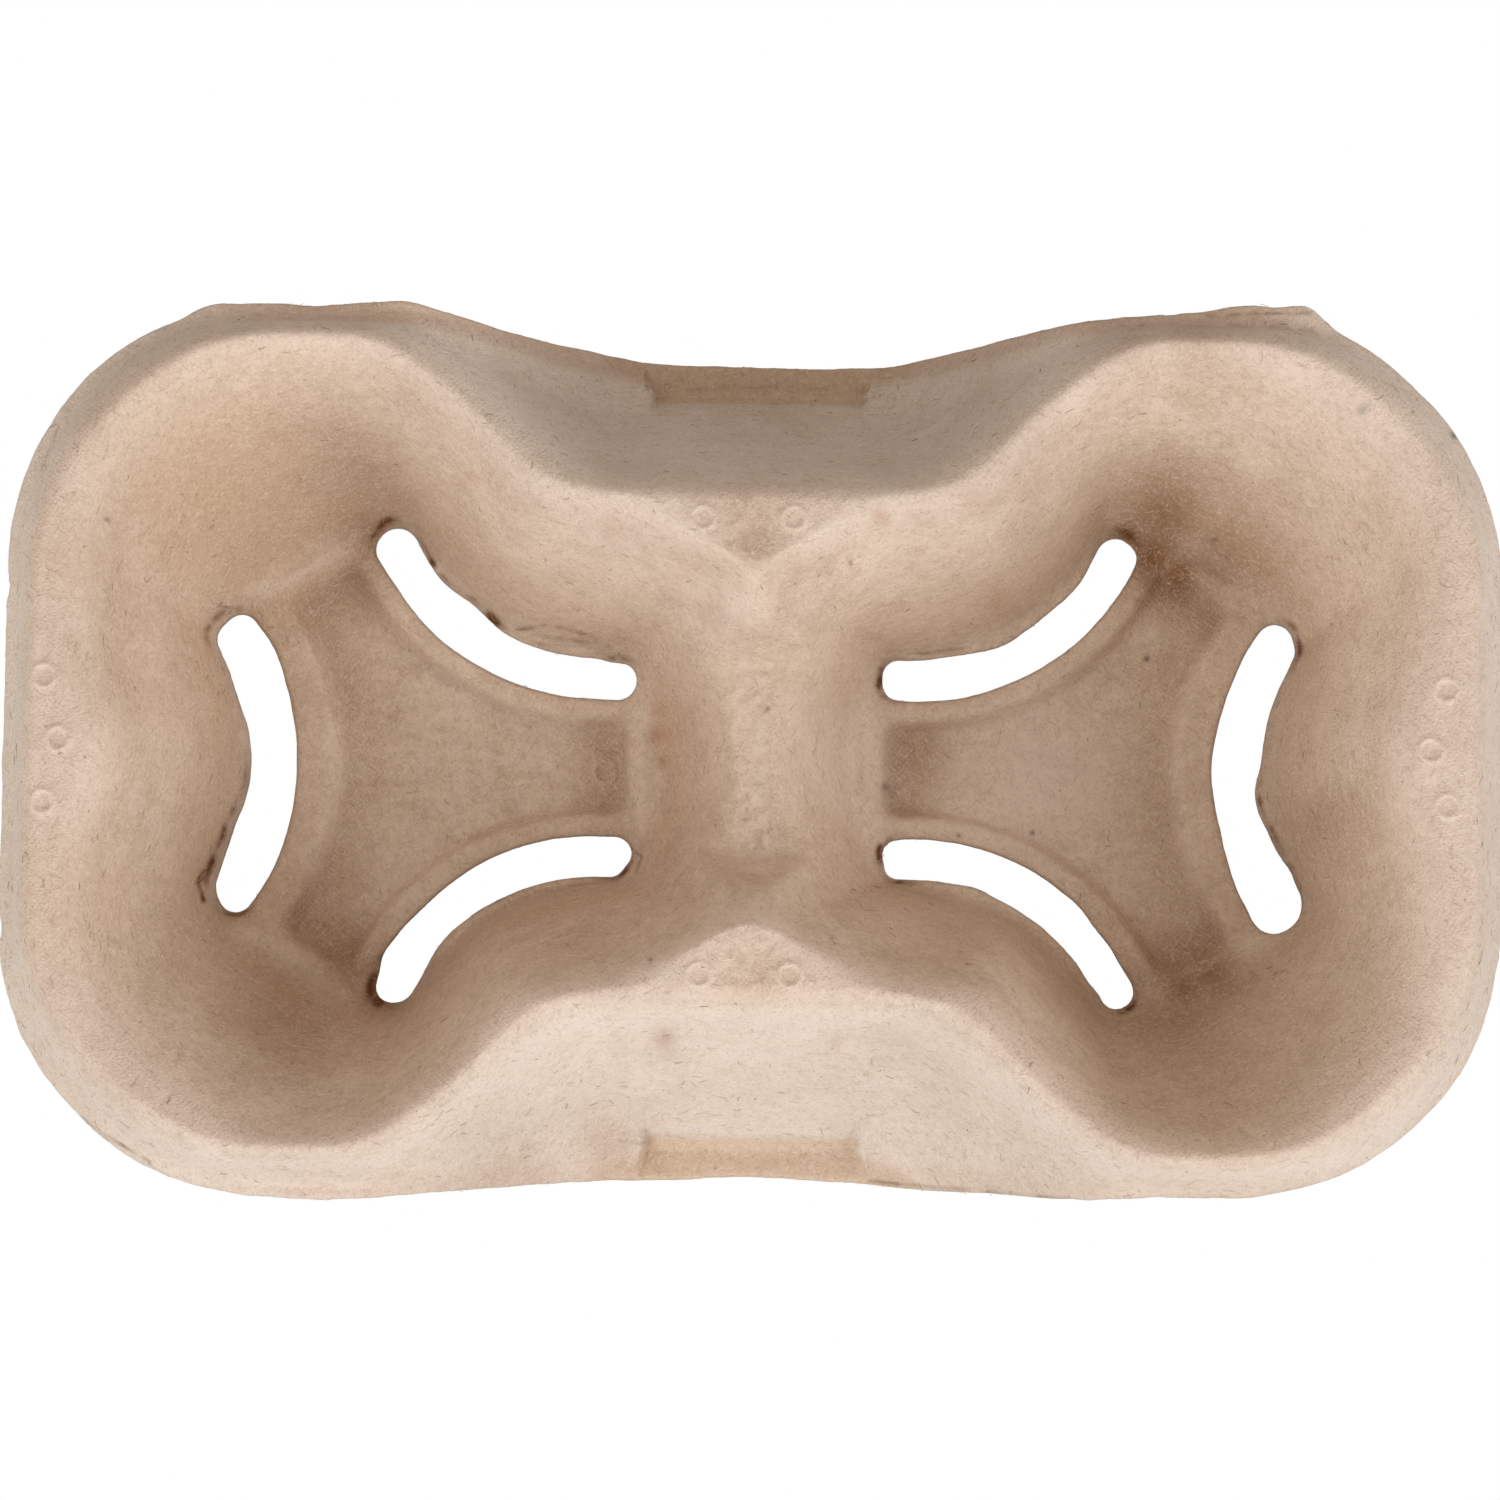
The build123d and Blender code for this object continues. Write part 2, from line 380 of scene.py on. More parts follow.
EDGE_TEARS = tuple(starmap(EdgeTear, (
    (-54.5, 35.2, 3, 0.8, 0.3, 1), (-51, 37.2, 2.6, 1.1, 0.25, 0.7), (-46.5, 29.8, 3.4, 0.3, 0.3, 0.85),
    (-41.5, 24.8, 2.4, 0.3, 0.25, 0.45), (-37.8, 21.4, 1.8, 0.3, 0.4, 1), (-31, 19.2, 4, 0.5, 0.25, 0.35),
    (-20, 16, 2.2, 0.5, 0.4, 0.35), (-78.6, 19.6, 2.8, 0.9, 0.25, 0.75), (-76, 22.3, 2.6, 0.5, 0.25, 0.4),
    (-74.2, -2.5, 2.5, 0.3, 0.25, 0.5), (-75.4, -7, 3, 0.6, 0.22, 0.55), (-77, -11.2, 3, 0.7, 0.25, 0.75),
    (-79.2, -15.6, 2.4, 0.9, 0.3, 0.95), (-74.8, -21.7, 2, 0.4, 0.25, 0.75),
    (-55.1, -33.2, 3.4, 0.5, 0.55, 1), (-48.6, -28.8, 2, 0.3, 0.3, 0.4),
    (-19.6, -15.1, 2.4, 0.3, 0.35, 0.85), (18.3, 12.3, 2.5, 0.3, 0.45, 1), (26, 16.8, 5, 0.7, 0.22, 0.3),
    (54.2, 35.6, 2.4, 0.7, 0.45, 0.85), (18.7, -12, 2.4, 0.4, 0.4, 0.85), (21, -16.5, 2.4, 0.4, 0.3, 0.5),
    (54.2, -34.5, 2, 0.4, 0.4, 1), (78.4, 17.3, 2.4, 0.4, 0.3, 0.75), (77.4, 21.7, 2, 0.5, 0.22, 0.4),
    (72.8, -4, 2.4, 0.4, 0.3, 0.8), (74.6, -9, 3, 0.4, 0.25, 0.6),
)))
RED_STAINS = tuple(starmap(TintPatch, (
    (-14.2, 4.6, 1.6, 0.8), (-14.6, 7.8, 1.2, 0.5), (34.7, 23.9, 1.8, 0.45), (17.6, 31.7, 1.3, 0.5),
    (-11.8, -40.5, 1.5, 0.6), (-13.2, 0.8, 1.2, 0.4), (30.2, 34.5, 2, 0.25), (-40.5, 38, 1.6, 0.25),
    (12, -40.8, 1.2, 0.3), (-20, 30.5, 1.4, 0.25), (-6.5, 20, 1.3, 0.3), (64, -52, 1.6, 0.25),
)))
DARK_SPOTS = tuple(starmap(TintPatch, (
    (56.9, 17, 0.45, 0.9), (40.4, -8.7, 0.4, 0.8), (29.6, -9.5, 0.35, 0.7), (-54, -28, 0.4, 0.8),
    (18.9, -2.4, 0.55, 0.6), (84, 47.2, 0.8, 0.4), (97.7, 45.1, 0.6, 0.8), (-13.6, -30, 0.3, 0.8),
    (13.4, 26.2, 0.35, 0.7), (1.9, 6.9, 0.35, 0.8), (66.1, 33.4, 0.4, 0.6), (-90.2, 30.6, 0.35, 0.7),
)))
# Painted shade: faint grey over the back outer wall, which faces away from the lamps.
NORTH_WALL_SHADE = tuple(starmap(TintPatch, (
    (-24, 50, 20, 0.13), (24, 50, 20, 0.13), (0, 48, 18, 0.13),
)))
# Painted shade: brown patches, most at the feet of the pocket walls, where shade falls on the walls and
# floors.
PAINTED_SHADE_SPOTS = tuple(starmap(TintPatch, (
    (57.5, 31.5, 5.5, 1), (66, 29.5, 7, 0.55), (58.5, 36.5, 6.5, 0.75), (71.5, 26.5, 7, 0.35),
    (54, 33.5, 3.5, 0.95), (61, -34, 9, 0.5), (62, -31, 4.5, 0.85), (-56.5, 33, 5, 0.7),
    (-58.5, -30.5, 5, 0.5), (-54, -33.5, 3.5, 0.7), (-66, -40, 8, 0.25), (-75.3, -21, 2.5, 0.5),
    (23.5, 2.5, 4.5, 0.3), (-52, 8, 8, 0.15), (21, -4.5, 3, 0.25), (61.5, 29, 4, 1), (66, -29, 5, 0.8),
    (-56, -29.5, 3, 0.4), (-58, 39.5, 8, 0.4), (-20, -54.5, 5, 0.3), (-35, -59, 8, 0.18),
    (0.5, 27, 3, 0.35), (82, -7, 6, 0.38), (61, 56, 6, 0.3), (52, 56, 6, 0.3),
)))
# Tan patches; the two on the lands at the middle are painted shade.
TAN_PATCHES_AND_SHADE = tuple(starmap(TintPatch, (
    (-74, 34, 17, 0.8), (64, -44, 14, 0.55), (-84, 8, 12, 0.35), (78, -36, 10, 0.35), (84, 24, 12, 0.25),
    (83, -14, 7, 0.4), (-95, 25, 8, 0.4), (-94, -22, 11, 0.4), (0, 31, 6.5, 0.45), (0.5, -33, 5.5, 0.45),
)))
PALE_STAINS = tuple(starmap(TintPatch, (
    (12.5, 1, 11, 1), (-18, 34, 13, 0.6), (-4, 20, 9, 0.6), (30, 38, 14, 0.4), (0, -46, 16, 0.4),
    (42, 0, 14, 0.9), (-50, 44, 9, 0.25), (-0.8, -25, 3, 1), (1.5, -14, 3.5, 0.8), (92, -13, 4.5, 0.6),
    (-48, -20, 7, 0.5), (-64, -56, 12, 0.5), (84, -50, 12, 0.5),
)))


class Bite(Enum):
    """The three inward bulges of a pocket, by polar angle about its centre."""

    BACK = 60.0
    OUTER = 180.0
    FRONT = 300.0


@dataclass(frozen=True)
class SlotSizes:
    """One curved slot: the arc it follows, its width and its end-to-end chord."""

    distance: float
    radius: float
    width: float
    span: float
    arc_points: int = 80
    cap_points: int = 40


@dataclass
class Pocket:
    """Funnel for one cup: three lobes, a sunken three-armed seat and three curved slots.

    The trims' turns are degrees from the middle of the carrier. The arms' bells and ramps run along
    an arm from its end, and the prints' others from the seat's edge or its outer fold.
    """

    side: int
    pitch: float = 98.6
    height: float = 45.0
    margin_top: float = 5.5
    floor_top: float = 2.0
    foot_round: float = 34.2
    foot_blend: float = 6.0
    bite_distance: float = 53.3
    bite_radius: float = 29.1
    corner_distance: float = 27.7
    corner_radius: float = 31.3
    corner_trim: float = 1.6
    corner_trim_turn: Ramp = Ramp(105.0, 130.0)
    bite_trim: float = 2.2
    bite_trim_turn: Bell = Bell(67.0, 15.0)
    press: float = 4.0
    press_width: float = 11.0
    arm_length: float = 31.0
    arm_side: Ramp = Ramp(12.0, 8.0)
    inner_seat_radius: float = 39.2
    outer_seat_radius: float = 41.0
    seat_corner_blend: float = 3.0
    seat_inset: float = 1.6
    seat_outset: float = 0.4
    fold_inset: float = 2.8
    fold_blend: float = 1.5
    seat_edge_blend: float = 1.6
    bead: float = 1.2
    bead_line: Bell = Bell(2.2, 1.4)
    groove_share: float = 0.45
    groove_line: Bell = Bell(5.2, 1.6)
    arm_print_start: Ramp = Ramp(-12.0, -3.0)
    arm_print_end: Ramp = Ramp(0.6, -1.0)
    fold_print_start: Ramp = Ramp(-12.0, -2.0)
    fold_print_end: Ramp = Ramp(-0.8, -2.4)
    fold_print: float = 0.8
    print_edge: Ramp = Ramp(1.2, -1.2)
    print_strength: float = 0.85
    inner_slot: SlotSizes = SlotSizes(52.5, 32.46, 5.65, 36.7)
    outer_slot: SlotSizes = SlotSizes(54.5, 33.8, 6.3, 37.6)

    def local(self, x: Array, y: Array) -> Pair:
        """Place measured from the pocket centre, +X towards the middle of the carrier."""
        return self.pitch / 2 - self.side * np.asarray(x), np.asarray(y)

    def carrier_places(self, local: Array) -> Array:
        """Carrier coordinates of local (x, y) rows."""
        return np.column_stack([self.side * (self.pitch / 2 - local[:, 0]), local[:, 1]])

    def radii(self, bend: Array) -> Pair:
        """Radii of the wall's foot and of its mouth, trims apart.

        Args:
            bend: angle from the nearest bite.

        Returns:
            The two radii at each angle.
        """
        reach = self.bite_radius**2 - (self.bite_distance * np.sin(bend)) ** 2
        bite = self.bite_distance * np.cos(bend) - np.sqrt(np.maximum(reach, 0))
        foot = soft_min(np.where(reach > 0, bite, FAR), self.foot_round, self.foot_blend)
        side = self.corner_distance / 2 + self.corner_radius
        across = self.corner_distance * np.sin(HALF_BITE_STEP - bend)
        turn = np.arctan2(self.corner_distance * math.sin(HALF_BITE_STEP), side)
        arc = self.corner_distance * np.cos(HALF_BITE_STEP - bend)
        arc = arc + np.sqrt(np.maximum(self.corner_radius**2 - across * across, 0))
        mouth = np.where(bend < turn, side / np.cos(bend), arc)
        return foot, mouth - self.press * bump(mouth * np.sin(bend), self.press_width)

    def wall_height(self, x: Array, y: Array) -> Array:
        """Height of the funnel wall, carried on as a slope inside its foot.

        Args:
            x, y: places on the carrier.

        Returns:
            The height at each place.
        """
        across, along = self.local(x, y)
        turn = np.degrees(np.arctan2(along, across))
        bend = np.radians(np.abs(turn % 120.0 - 60.0))
        trim = self.corner_trim * self.corner_trim_turn.at(np.abs(turn))
        trim = trim + self.bite_trim * self.bite_trim_turn.at(np.abs(turn))
        foot, mouth = self.radii(bend)
        share = (np.hypot(across, along) - foot) / (mouth - trim - foot)
        return self.margin_top + (self.height - self.margin_top) * share

    def arms(self, x: Array, y: Array) -> Iterator[Pair]:
        """Places measured along each arm of the seat, in the order of the bites.

        Args:
            x, y: places on the carrier.

        Yields:
            For each arm, the distance past its end and the distance aside of its middle.
        """
        across, along = self.local(x, y)
        for turn in ARM_TURNS:
            reach = across * math.cos(turn) + along * math.sin(turn)
            yield reach - self.arm_length, np.abs(along * math.cos(turn) - across * math.sin(turn))

    def from_fold(self, x: Array, y: Array) -> Array:
        """Distance outside the seat's outer fold, negative inside it."""
        across, along = self.local(x, y)
        return self.outer_seat_radius - np.hypot(across + self.bite_distance, along)

    def seat_distance(self, x: Array, y: Array) -> Array:
        """Distance from the edge of the three-armed seat.

        Args:
            x, y: places on the carrier.

        Returns:
            How far outside the edge each place is, negative inside it.
        """
        across, along = self.local(x, y)
        edge = np.full(np.shape(across), -FAR)
        for bite, (past_arm, _) in zip(Bite, self.arms(x, y)):
            radius = self.outer_seat_radius if bite is Bite.OUTER else self.inner_seat_radius
            turn = math.radians(bite.value)
            away = np.hypot(across - self.bite_distance * math.cos(turn),
                            along - self.bite_distance * math.sin(turn))
            edge = soft_max(edge, radius - away, self.seat_corner_blend)
            edge = soft_max(edge, past_arm, self.seat_corner_blend)
        return edge

    def surface(self, x: Array, y: Array) -> Array:
        """Height of the pocket's upper face.

        Args:
            x, y: places on the carrier.

        Returns:
            The height at each place.
        """
        edge = self.seat_distance(x, y)
        fold = ease(1.0 - np.abs(edge - self.from_fold(x, y)) / self.fold_blend)
        inset = self.seat_inset + (self.fold_inset - self.seat_inset) * fold
        sink = ease((self.seat_outset - edge) / (inset + self.seat_outset))
        floor = self.margin_top - (self.margin_top - self.floor_top) * sink
        return soft_max(self.wall_height(x, y), floor, self.seat_edge_blend) + self.tip_beads(x, y)

    def tip_beads(self, x: Array, y: Array) -> Array:
        """Height of the beads that close the arm ends, negative in the groove behind each."""
        return sum(self.bead * (self.bead_line.at(past) - self.groove_share * self.groove_line.at(past))
                   * self.arm_side.at(aside) for past, aside in self.arms(x, y))

    def pads(self, x: Array, y: Array) -> Array:
        """Strength of the darker woven print at the arm ends and along the outer fold.

        Args:
            x, y: places on the carrier.

        Returns:
            The strength at each place.
        """
        outer = self.from_fold(x, y)
        prints = [self.arm_print_start.at(past) * self.arm_print_end.at(past) for past, _ in self.arms(x, y)]
        prints.append(self.fold_print * self.fold_print_start.at(outer) * self.fold_print_end.at(outer))
        return self.print_strength * np.max(prints, axis=0) * self.print_edge.at(self.seat_distance(x, y))

    def slot_loop(self, bite: Bite, spacing: float, grow: float) -> Array:
        """Outline of one slot.

        Args:
            bite: the bulge it lies under.
            spacing: distance between neighbouring points.
            grow: how far outside the slot's edge the loop runs.

        Returns:
            Anticlockwise (x, y) rows in carrier coordinates.
        """
        slot = self.outer_slot if bite is Bite.OUTER else self.inner_slot
        turn = math.radians(bite.value)
        centre = slot.distance * np.array([math.cos(turn), math.sin(turn)])
        half = math.asin(slot.span / 2 / slot.radius)
        reach = slot.width / 2 + grow
        sweep = np.linspace(-half, half, slot.arc_points) + turn + math.pi
        cap = np.linspace(0, math.pi, slot.cap_points)[1:-1]
        first, last = (on_circle(centre, slot.radius, sweep[[end]]) for end in (0, -1))
        points = np.concatenate([
            on_circle(centre, slot.radius + reach, sweep),
            on_circle(last, reach, cap + sweep[-1]),
            on_circle(centre, slot.radius - reach, sweep[::-1]),
            on_circle(first, reach, cap + (sweep[0] + math.pi)),
        ])
        places = even_loop(self.carrier_places(points), spacing)
        return places if self.side < 0 else places[::-1]


@dataclass
class Skirt:
    """Outer wall: it falls from the crest to a lip, low at mid-length and high round the ends."""

    height: float = 45.0
    wall: float = 2.0
    crest: WaistedOutline = WaistedOutline(100.4, 57.6, 35.6, 35.8, 19.0, 58.0)
    lip: WaistedOutline = WaistedOutline(105.0, 62.6, 59.6, 37.6, 15.5, 55.5)
    lip_height: float = 34.0
    lip_arch: Ramp = Ramp(17.5, 51.5)
    ledge: float = 4.8
    ledge_half_length: float = 16.8
    ledge_end_lean: float = 0.3
    ledge_end_blend: float = 0.8
    lip_flare: float = 1.3
    flare_slope: float = 1.1
    flare_start: float = 0.3
    ledge_fade: Ramp = Ramp(56.0, 24.0)
    long_side_share: float = 0.3
    long_side: float = 40.0
    shortest_run: float = 0.8
    foot_blend: float = 1.4

    def surface(self, x: Array, y: Array) -> Array:
        """Height of the skirt and lip.

        Args:
            x, y: places on the carrier.

        Returns:
            The height of the upper face at each place.
        """
        outside = self.crest.distance(x, y)
        from_edge = -self.lip.distance(x, y)
        on_long_side = np.abs(y) > np.abs(x) * self.long_side_share
        line = self.lip_flare + (self.ledge - self.lip_flare) * self.ledge_fade.at(np.abs(x)) * on_long_side
        end = self.ledge_half_length - self.ledge_end_lean * np.clip(from_edge, 0, self.ledge)
        cut = ease((end - np.abs(x)) / self.ledge_end_blend + 0.5) * (np.abs(y) > self.long_side)
        run = np.maximum(outside + from_edge - line, self.shortest_run)
        level = self.wall + (self.lip_height - self.wall) * self.lip_arch.at(np.abs(x))
        fall = self.height - (self.height - level) * outside / run
        flare = level + self.flare_slope * np.maximum(from_edge - self.flare_start, 0.0) * (1 - cut)
        return soft_max(fall, flare, self.foot_blend)


def close_up(mesh: bpy.types.Mesh) -> int:
    """Turns a mesh's faces outward and shades them smooth.

    Args:
        mesh: the mesh to change.

    Returns:
        The number of its open edges.
    """
    shell = bmesh.new()
    shell.from_mesh(mesh)
    bmesh.ops.recalc_face_normals(shell, faces=shell.faces)
    open_edges = sum(not edge.is_manifold for edge in shell.edges)
    shell.to_mesh(mesh)
    shell.free()
    mesh.shade_smooth()
    return open_edges


def place(name: str, data: bpy.types.ID) -> bpy.types.Object:
    """Object that shows the given data, linked into the scene."""
    holder = bpy.data.objects.new(name, data)
    bpy.context.collection.objects.link(holder)
    return holder


@dataclass
class CarrierSheet:
    """The moulded sheet: both faces, the lip's edge and the slots' edges, as one closed mesh."""

    skirt: Skirt = field(default_factory=Skirt)
    pockets: tuple[Pocket, Pocket] = field(default_factory=lambda: (Pocket(-1), Pocket(1)))
    grid: Grid = Grid()
    saddle_blend: float = 14.0
    saddle_low: float = 22.6
    saddle_climb: Ramp = Ramp(12.6, 26.0)
    saddle_past_crest: float = 8.0
    saddle_side: Ramp = Ramp(9.0, 21.0)
    saddle_side_rise: float = 60.0
    saddle_edge_blend: float = 4.0
    crest_blend: float = 8.0
    land_blend: float = 3.0
    near_land: Ramp = Ramp(20.0, 8.0)
    ridge: float = 0.35
    ridge_line: Bell = Bell(0.5, 1.1)
    ridge_away: float = 0.35
    skirt_blend: float = 5.0
    top_steps: Triple = (0.8, 0.52, 0.3)
    under_steps: Triple = (1.35, 1.35, 1.35)
    row_share: float = 0.866
    spread_margins: Couple = (1.0, 2.0)
    edge_spacing: float = 0.5
    edge_strip: float = 0.45
    edge_reach: float = 3.0
    snap: float = 1e-7
    slot_wear: float = 0.25
    edge_round: float = 0.28
    under_round_share: float = 0.6
    edge_bulge: float = 0.12
    thinnest_share: float = 0.8
    lip_fray: float = 0.04
    slot_fray: float = 0.03
    fray_span: int = 2
    wave: float = 0.16
    still_share: float = 0.3
    loose_height: Ramp = Ramp(8.0, 28.0)
    lump: float = 0.04
    crumb: float = 0.13
    strip_x: float = -0.2
    strip_across: Ramp = Ramp(3.0, 2.0)
    strip_along: Ramp = Ramp(14.5, 13.0)
    land_y: float = 29.5
    land_squash: float = 1.2
    land_reach: Ramp = Ramp(7.0, 4.5)
    land_rough: float = 0.6
    raggedness: float = 0.45
    most_ragged: float = 1.8
    edge_tear_spread: float = 1.3
    edge_tear_depth: float = 0.25
    edge_tear_stain: float = 1.25
    mark_rim: float = 0.26
    mark_ring: Bell = Bell(1.6, 0.35)
    mark_sink: float = 0.14
    mark_floor: Ramp = Ramp(1.4, 0.9)
    mark_reach: float = 2.4
    marks: tuple[Couple, ...] = (
        (-7.1, 31.1), (5.5, 31.2), (-7.0, -32.1), (5.6, -32.0), (-97.8, 8.2), (-95.7, -0.5),
        (-97.6, -9.2), (95.4, 8.2), (93.3, -0.2), (95.6, -7.8), (-21.9, -0.5),
    )
    steep_from: float = -2.5
    steep_to_at_waist: float = 2.0
    waist_half_length: float = 40.0
    busy_strip: Couple = (13.0, 3.4)
    busy_tear: Couple = (1.0, 0.4)
    busy_spot_reaches: float = 2.0

    def __post_init__(self) -> None:
        """Draws the noise fields and works the underside out from the upper face."""
        self.waves = self.grid.noise(26.0, 11)
        self.lumps = self.grid.noise(3.2, 12)
        self.crumbs = self.grid.noise(1.1, 13)
        self.frays = np.random.default_rng(14)
        self.under = self.worn_down(self.top(*self.grid.places()))

    def plain_top(self, x: Array, y: Array) -> Array:
        """Upper face before waves and lumps.

        Args:
            x, y: places on the carrier.

        Returns:
            The height at each place.
        """
        left, right = (pocket.surface(x, y) for pocket in self.pockets)
        height = soft_min(left, right, self.saddle_blend)
        rise = self.skirt.height + self.saddle_past_crest - self.saddle_low
        saddle = self.saddle_low + rise * self.saddle_climb.at(np.abs(y))
        saddle = saddle + self.saddle_side_rise * self.saddle_side.at(np.abs(x))
        height = soft_min(height, saddle, self.saddle_edge_blend)
        near_land = self.near_land.at(np.abs(x))
        blend = self.crest_blend + (self.land_blend - self.crest_blend) * near_land
        ridge = self.ridge * self.ridge_line.at(height - self.skirt.height)
        ridge = ridge * (self.ridge_away + (1 - self.ridge_away) * near_land)
        height = soft_min(height, self.skirt.height, blend) + ridge
        return soft_min(height, self.skirt.surface(x, y), self.skirt_blend)

    def top(self, x: Array, y: Array) -> Array:
        """Upper face of the sheet, tears apart.

        Args:
            x, y: places on the carrier.

        Returns:
            The height at each place.
        """
        height = self.plain_top(x, y)
        loose = self.still_share + (1 - self.still_share) * self.loose_height.at(height)
        noises = (self.waves, self.lumps, self.crumbs)
        waves, lumps, crumbs = (self.grid.read(noise, x, y) for noise in noises)
        height = height + loose * self.wave * waves + self.lump * lumps
        height = height + self.crumb * self.rough(x, y) * crumbs
        away = self.from_mark(x, y)
        return height + self.mark_rim * self.mark_ring.at(away) - self.mark_sink * self.mark_floor.at(away)

    def from_mark(self, x: Array, y: Array) -> Array:
        """Distance from the middle of the nearest round mould mark."""
        return np.min([np.hypot(x - mark[0], y - mark[1]) for mark in self.marks], axis=0)

    def rough(self, x: Array, y: Array) -> Array:
        """Strength of the rough strip along the saddle and the crumbly lands.

        Args:
            x, y: places on the carrier.

        Returns:
            The strength at each place.
        """
        strip = self.strip_across.at(np.abs(x - self.strip_x)) * self.strip_along.at(np.abs(y))
        from_land = np.hypot(x, (np.abs(y) - self.land_y) * self.land_squash)
        return np.maximum(strip, self.land_reach.at(from_land) * self.land_rough)

    def torn(self, x: Array, y: Array) -> Pair:
        """Tears in the upper face.

        Args:
            x, y: places on the carrier.

        Returns:
            The depth of the tears at each place, and how dark they are: brown fibres with painted shade in
            their gaps.
        """
        depth, stain = np.zeros(np.shape(x)), np.zeros(np.shape(x))
        ragged = 1.0 + self.raggedness * self.grid.read(self.crumbs, x, y)
        ragged = np.clip(ragged, 0.0, self.most_ragged)
        gap = self.loop_gap(x, y)
        tears = [(tear.nearness(x, y, tear.width), tear.depth, tear.stain) for tear in TEARS]
        for tear in EDGE_TEARS:
            near = tear.near(x, y) * bump(gap - tear.offset, self.edge_tear_spread * tear.width)
            tears.append((near * tear.strength, self.edge_tear_depth, self.edge_tear_stain))
        for near, deepest, darkest in tears:
            depth = np.maximum(depth, near * deepest)
            stain = np.maximum(stain, np.clip(near * darkest * ragged, 0, 1))
        return depth, stain

    def worn_down(self, top: Array) -> Array:
        """Underside that lies one wall below the upper face, measured square to it.

        Args:
            top: heights of the upper face on the grid.

        Returns:
            Heights of the underside on the grid.
        """
        wall, step = self.skirt.wall, self.grid.step
        reach = int(wall / step)
        lowest = top - wall
        for i in range(-reach, reach + 1):
            for j in range(-reach, reach + 1):
                away = math.hypot(i, j) * step
                if 0 < away < wall:
                    drop = math.sqrt(wall * wall - away * away)
                    lowest = np.minimum(lowest, np.roll(top, (i, j), (0, 1)) - drop)
        return np.maximum(lowest, 0.0)

    def cut_edges(self) -> list[Array]:
        """Loops along the sheet's cut edges: the lip's, then those of the six slots."""
        lip = self.ragged(wander(self.skirt.lip.loop(self.edge_spacing), LIP_DENTS), self.lip_fray)
        slots = (pocket.slot_loop(bite, self.edge_spacing, self.slot_wear)
                 for pocket in self.pockets for bite in Bite)
        return [lip, *(self.ragged(wander(loop, SLOT_DENTS), self.slot_fray) for loop in slots)]

    def ragged(self, loop: Array, amount: float) -> Array:
        """Loop with a small uneven wander of the cut.

        Args:
            loop: rows of (x, y).
            amount: size of the wander.

        Returns:
            The moved rows.
        """
        raw = self.frays.standard_normal(len(loop))
        shifts = range(-self.fray_span, self.fray_span + 1)
        smooth = sum(np.roll(raw, shift) for shift in shifts) / math.sqrt(len(shifts))
        return loop + loop_normals(loop) * (amount * smooth)[:, None]

    def spread(self, steps: Triple) -> Array:
        """Points over one face.

        Args:
            steps: spacing on the gentle parts, on the steep ones, and at tears and marks.

        Returns:
            Rows of (x, y), none near a cut edge.
        """
        parts = []
        half_x = self.skirt.lip.half_length + self.spread_margins[0]
        half_y = self.skirt.lip.half_width + self.spread_margins[1]
        for level, step in enumerate(steps):
            y = np.arange(-half_y, half_y, step * self.row_share)
            px, py = np.meshgrid(np.arange(-half_x, half_x, step), y)
            px = px + (np.arange(len(y)) % 2)[:, None] * step / 2
            points = np.column_stack([px.ravel(), py.ravel()])
            points = points[np.round(self.grid.read(self.detail, *points.T)) == level]
            parts.append(points[self.loop_gap(*points.T) > self.edge_strip + step / 2])
        return np.concatenate(parts)

    def detail_level(self, x: Array, y: Array) -> Array:
        """How close the points of a face have to lie.

        Args:
            x, y: places on the carrier.

        Returns:
            0 where the face is gentle, 1 where it is steep, 2 where it is torn or marked.
        """
        outside = self.skirt.crest.distance(x, y)
        past_waist = np.abs(x) > self.waist_half_length
        steep = (outside > self.steep_from) & (past_waist | (outside < self.steep_to_at_waist))
        half_length, half_width = self.busy_strip
        busy = np.abs(x - self.strip_x) + np.maximum(np.abs(y) - half_length, 0) < half_width
        busy |= np.hypot(x, np.abs(y) - self.land_y) < self.land_reach.first
        busy |= self.from_mark(x, y) < self.mark_reach
        tear_width, least = self.busy_tear
        for tear in TEARS:
            busy |= tear.nearness(x, y, tear_width) > least
        spots = [(tear, self.edge_tear_spread) for tear in EDGE_TEARS]
        for spot, reaches in spots + [(stain, self.busy_spot_reaches) for stain in DARK_SPOTS]:
            busy |= spot.away(x, y) < reaches * spot.reach
        return np.where(busy, 2.0, np.where(steep, 1.0, 0.0))

    def loop_gap(self, x: Array, y: Array) -> Array:
        """Rough distance from the nearest cut edge.

        Args:
            x, y: places on the carrier.

        Returns:
            The distance within the sheet, negative off it, and FAR away from the edges.
        """
        gap = np.full(np.shape(x), FAR)
        for number, loop in enumerate(self.loops):
            tree = KDTree(len(loop))
            for index, spot in enumerate(loop):
                tree.insert((*spot, 0.0), index)
            tree.balance()
            normals = loop_normals(loop) * (1 if number else -1)
            low, high = loop.min(axis=0) - self.edge_reach, loop.max(axis=0) + self.edge_reach
            near = (x > low[0]) & (x < high[0]) & (y > low[1]) & (y < high[1])
            for k in np.flatnonzero(near):
                _, index, away = tree.find((x[k], y[k], 0.0))
                offset = np.array([x[k], y[k]]) - loop[index]
                gap[k] = min(gap[k], away if offset @ normals[index] > 0 else -away)
        return gap

    def segments(self) -> Iterator[tuple[int, int, int]]:
        """Pieces of the cut edges.

        Yields:
            The number of a loop, then those of two neighbouring points, counted over all loops.
        """
        first = 0
        for number, loop in enumerate(self.loops):
            yield from ((number, first + k, first + (k + 1) % len(loop)) for k in range(len(loop)))
            first += len(loop)

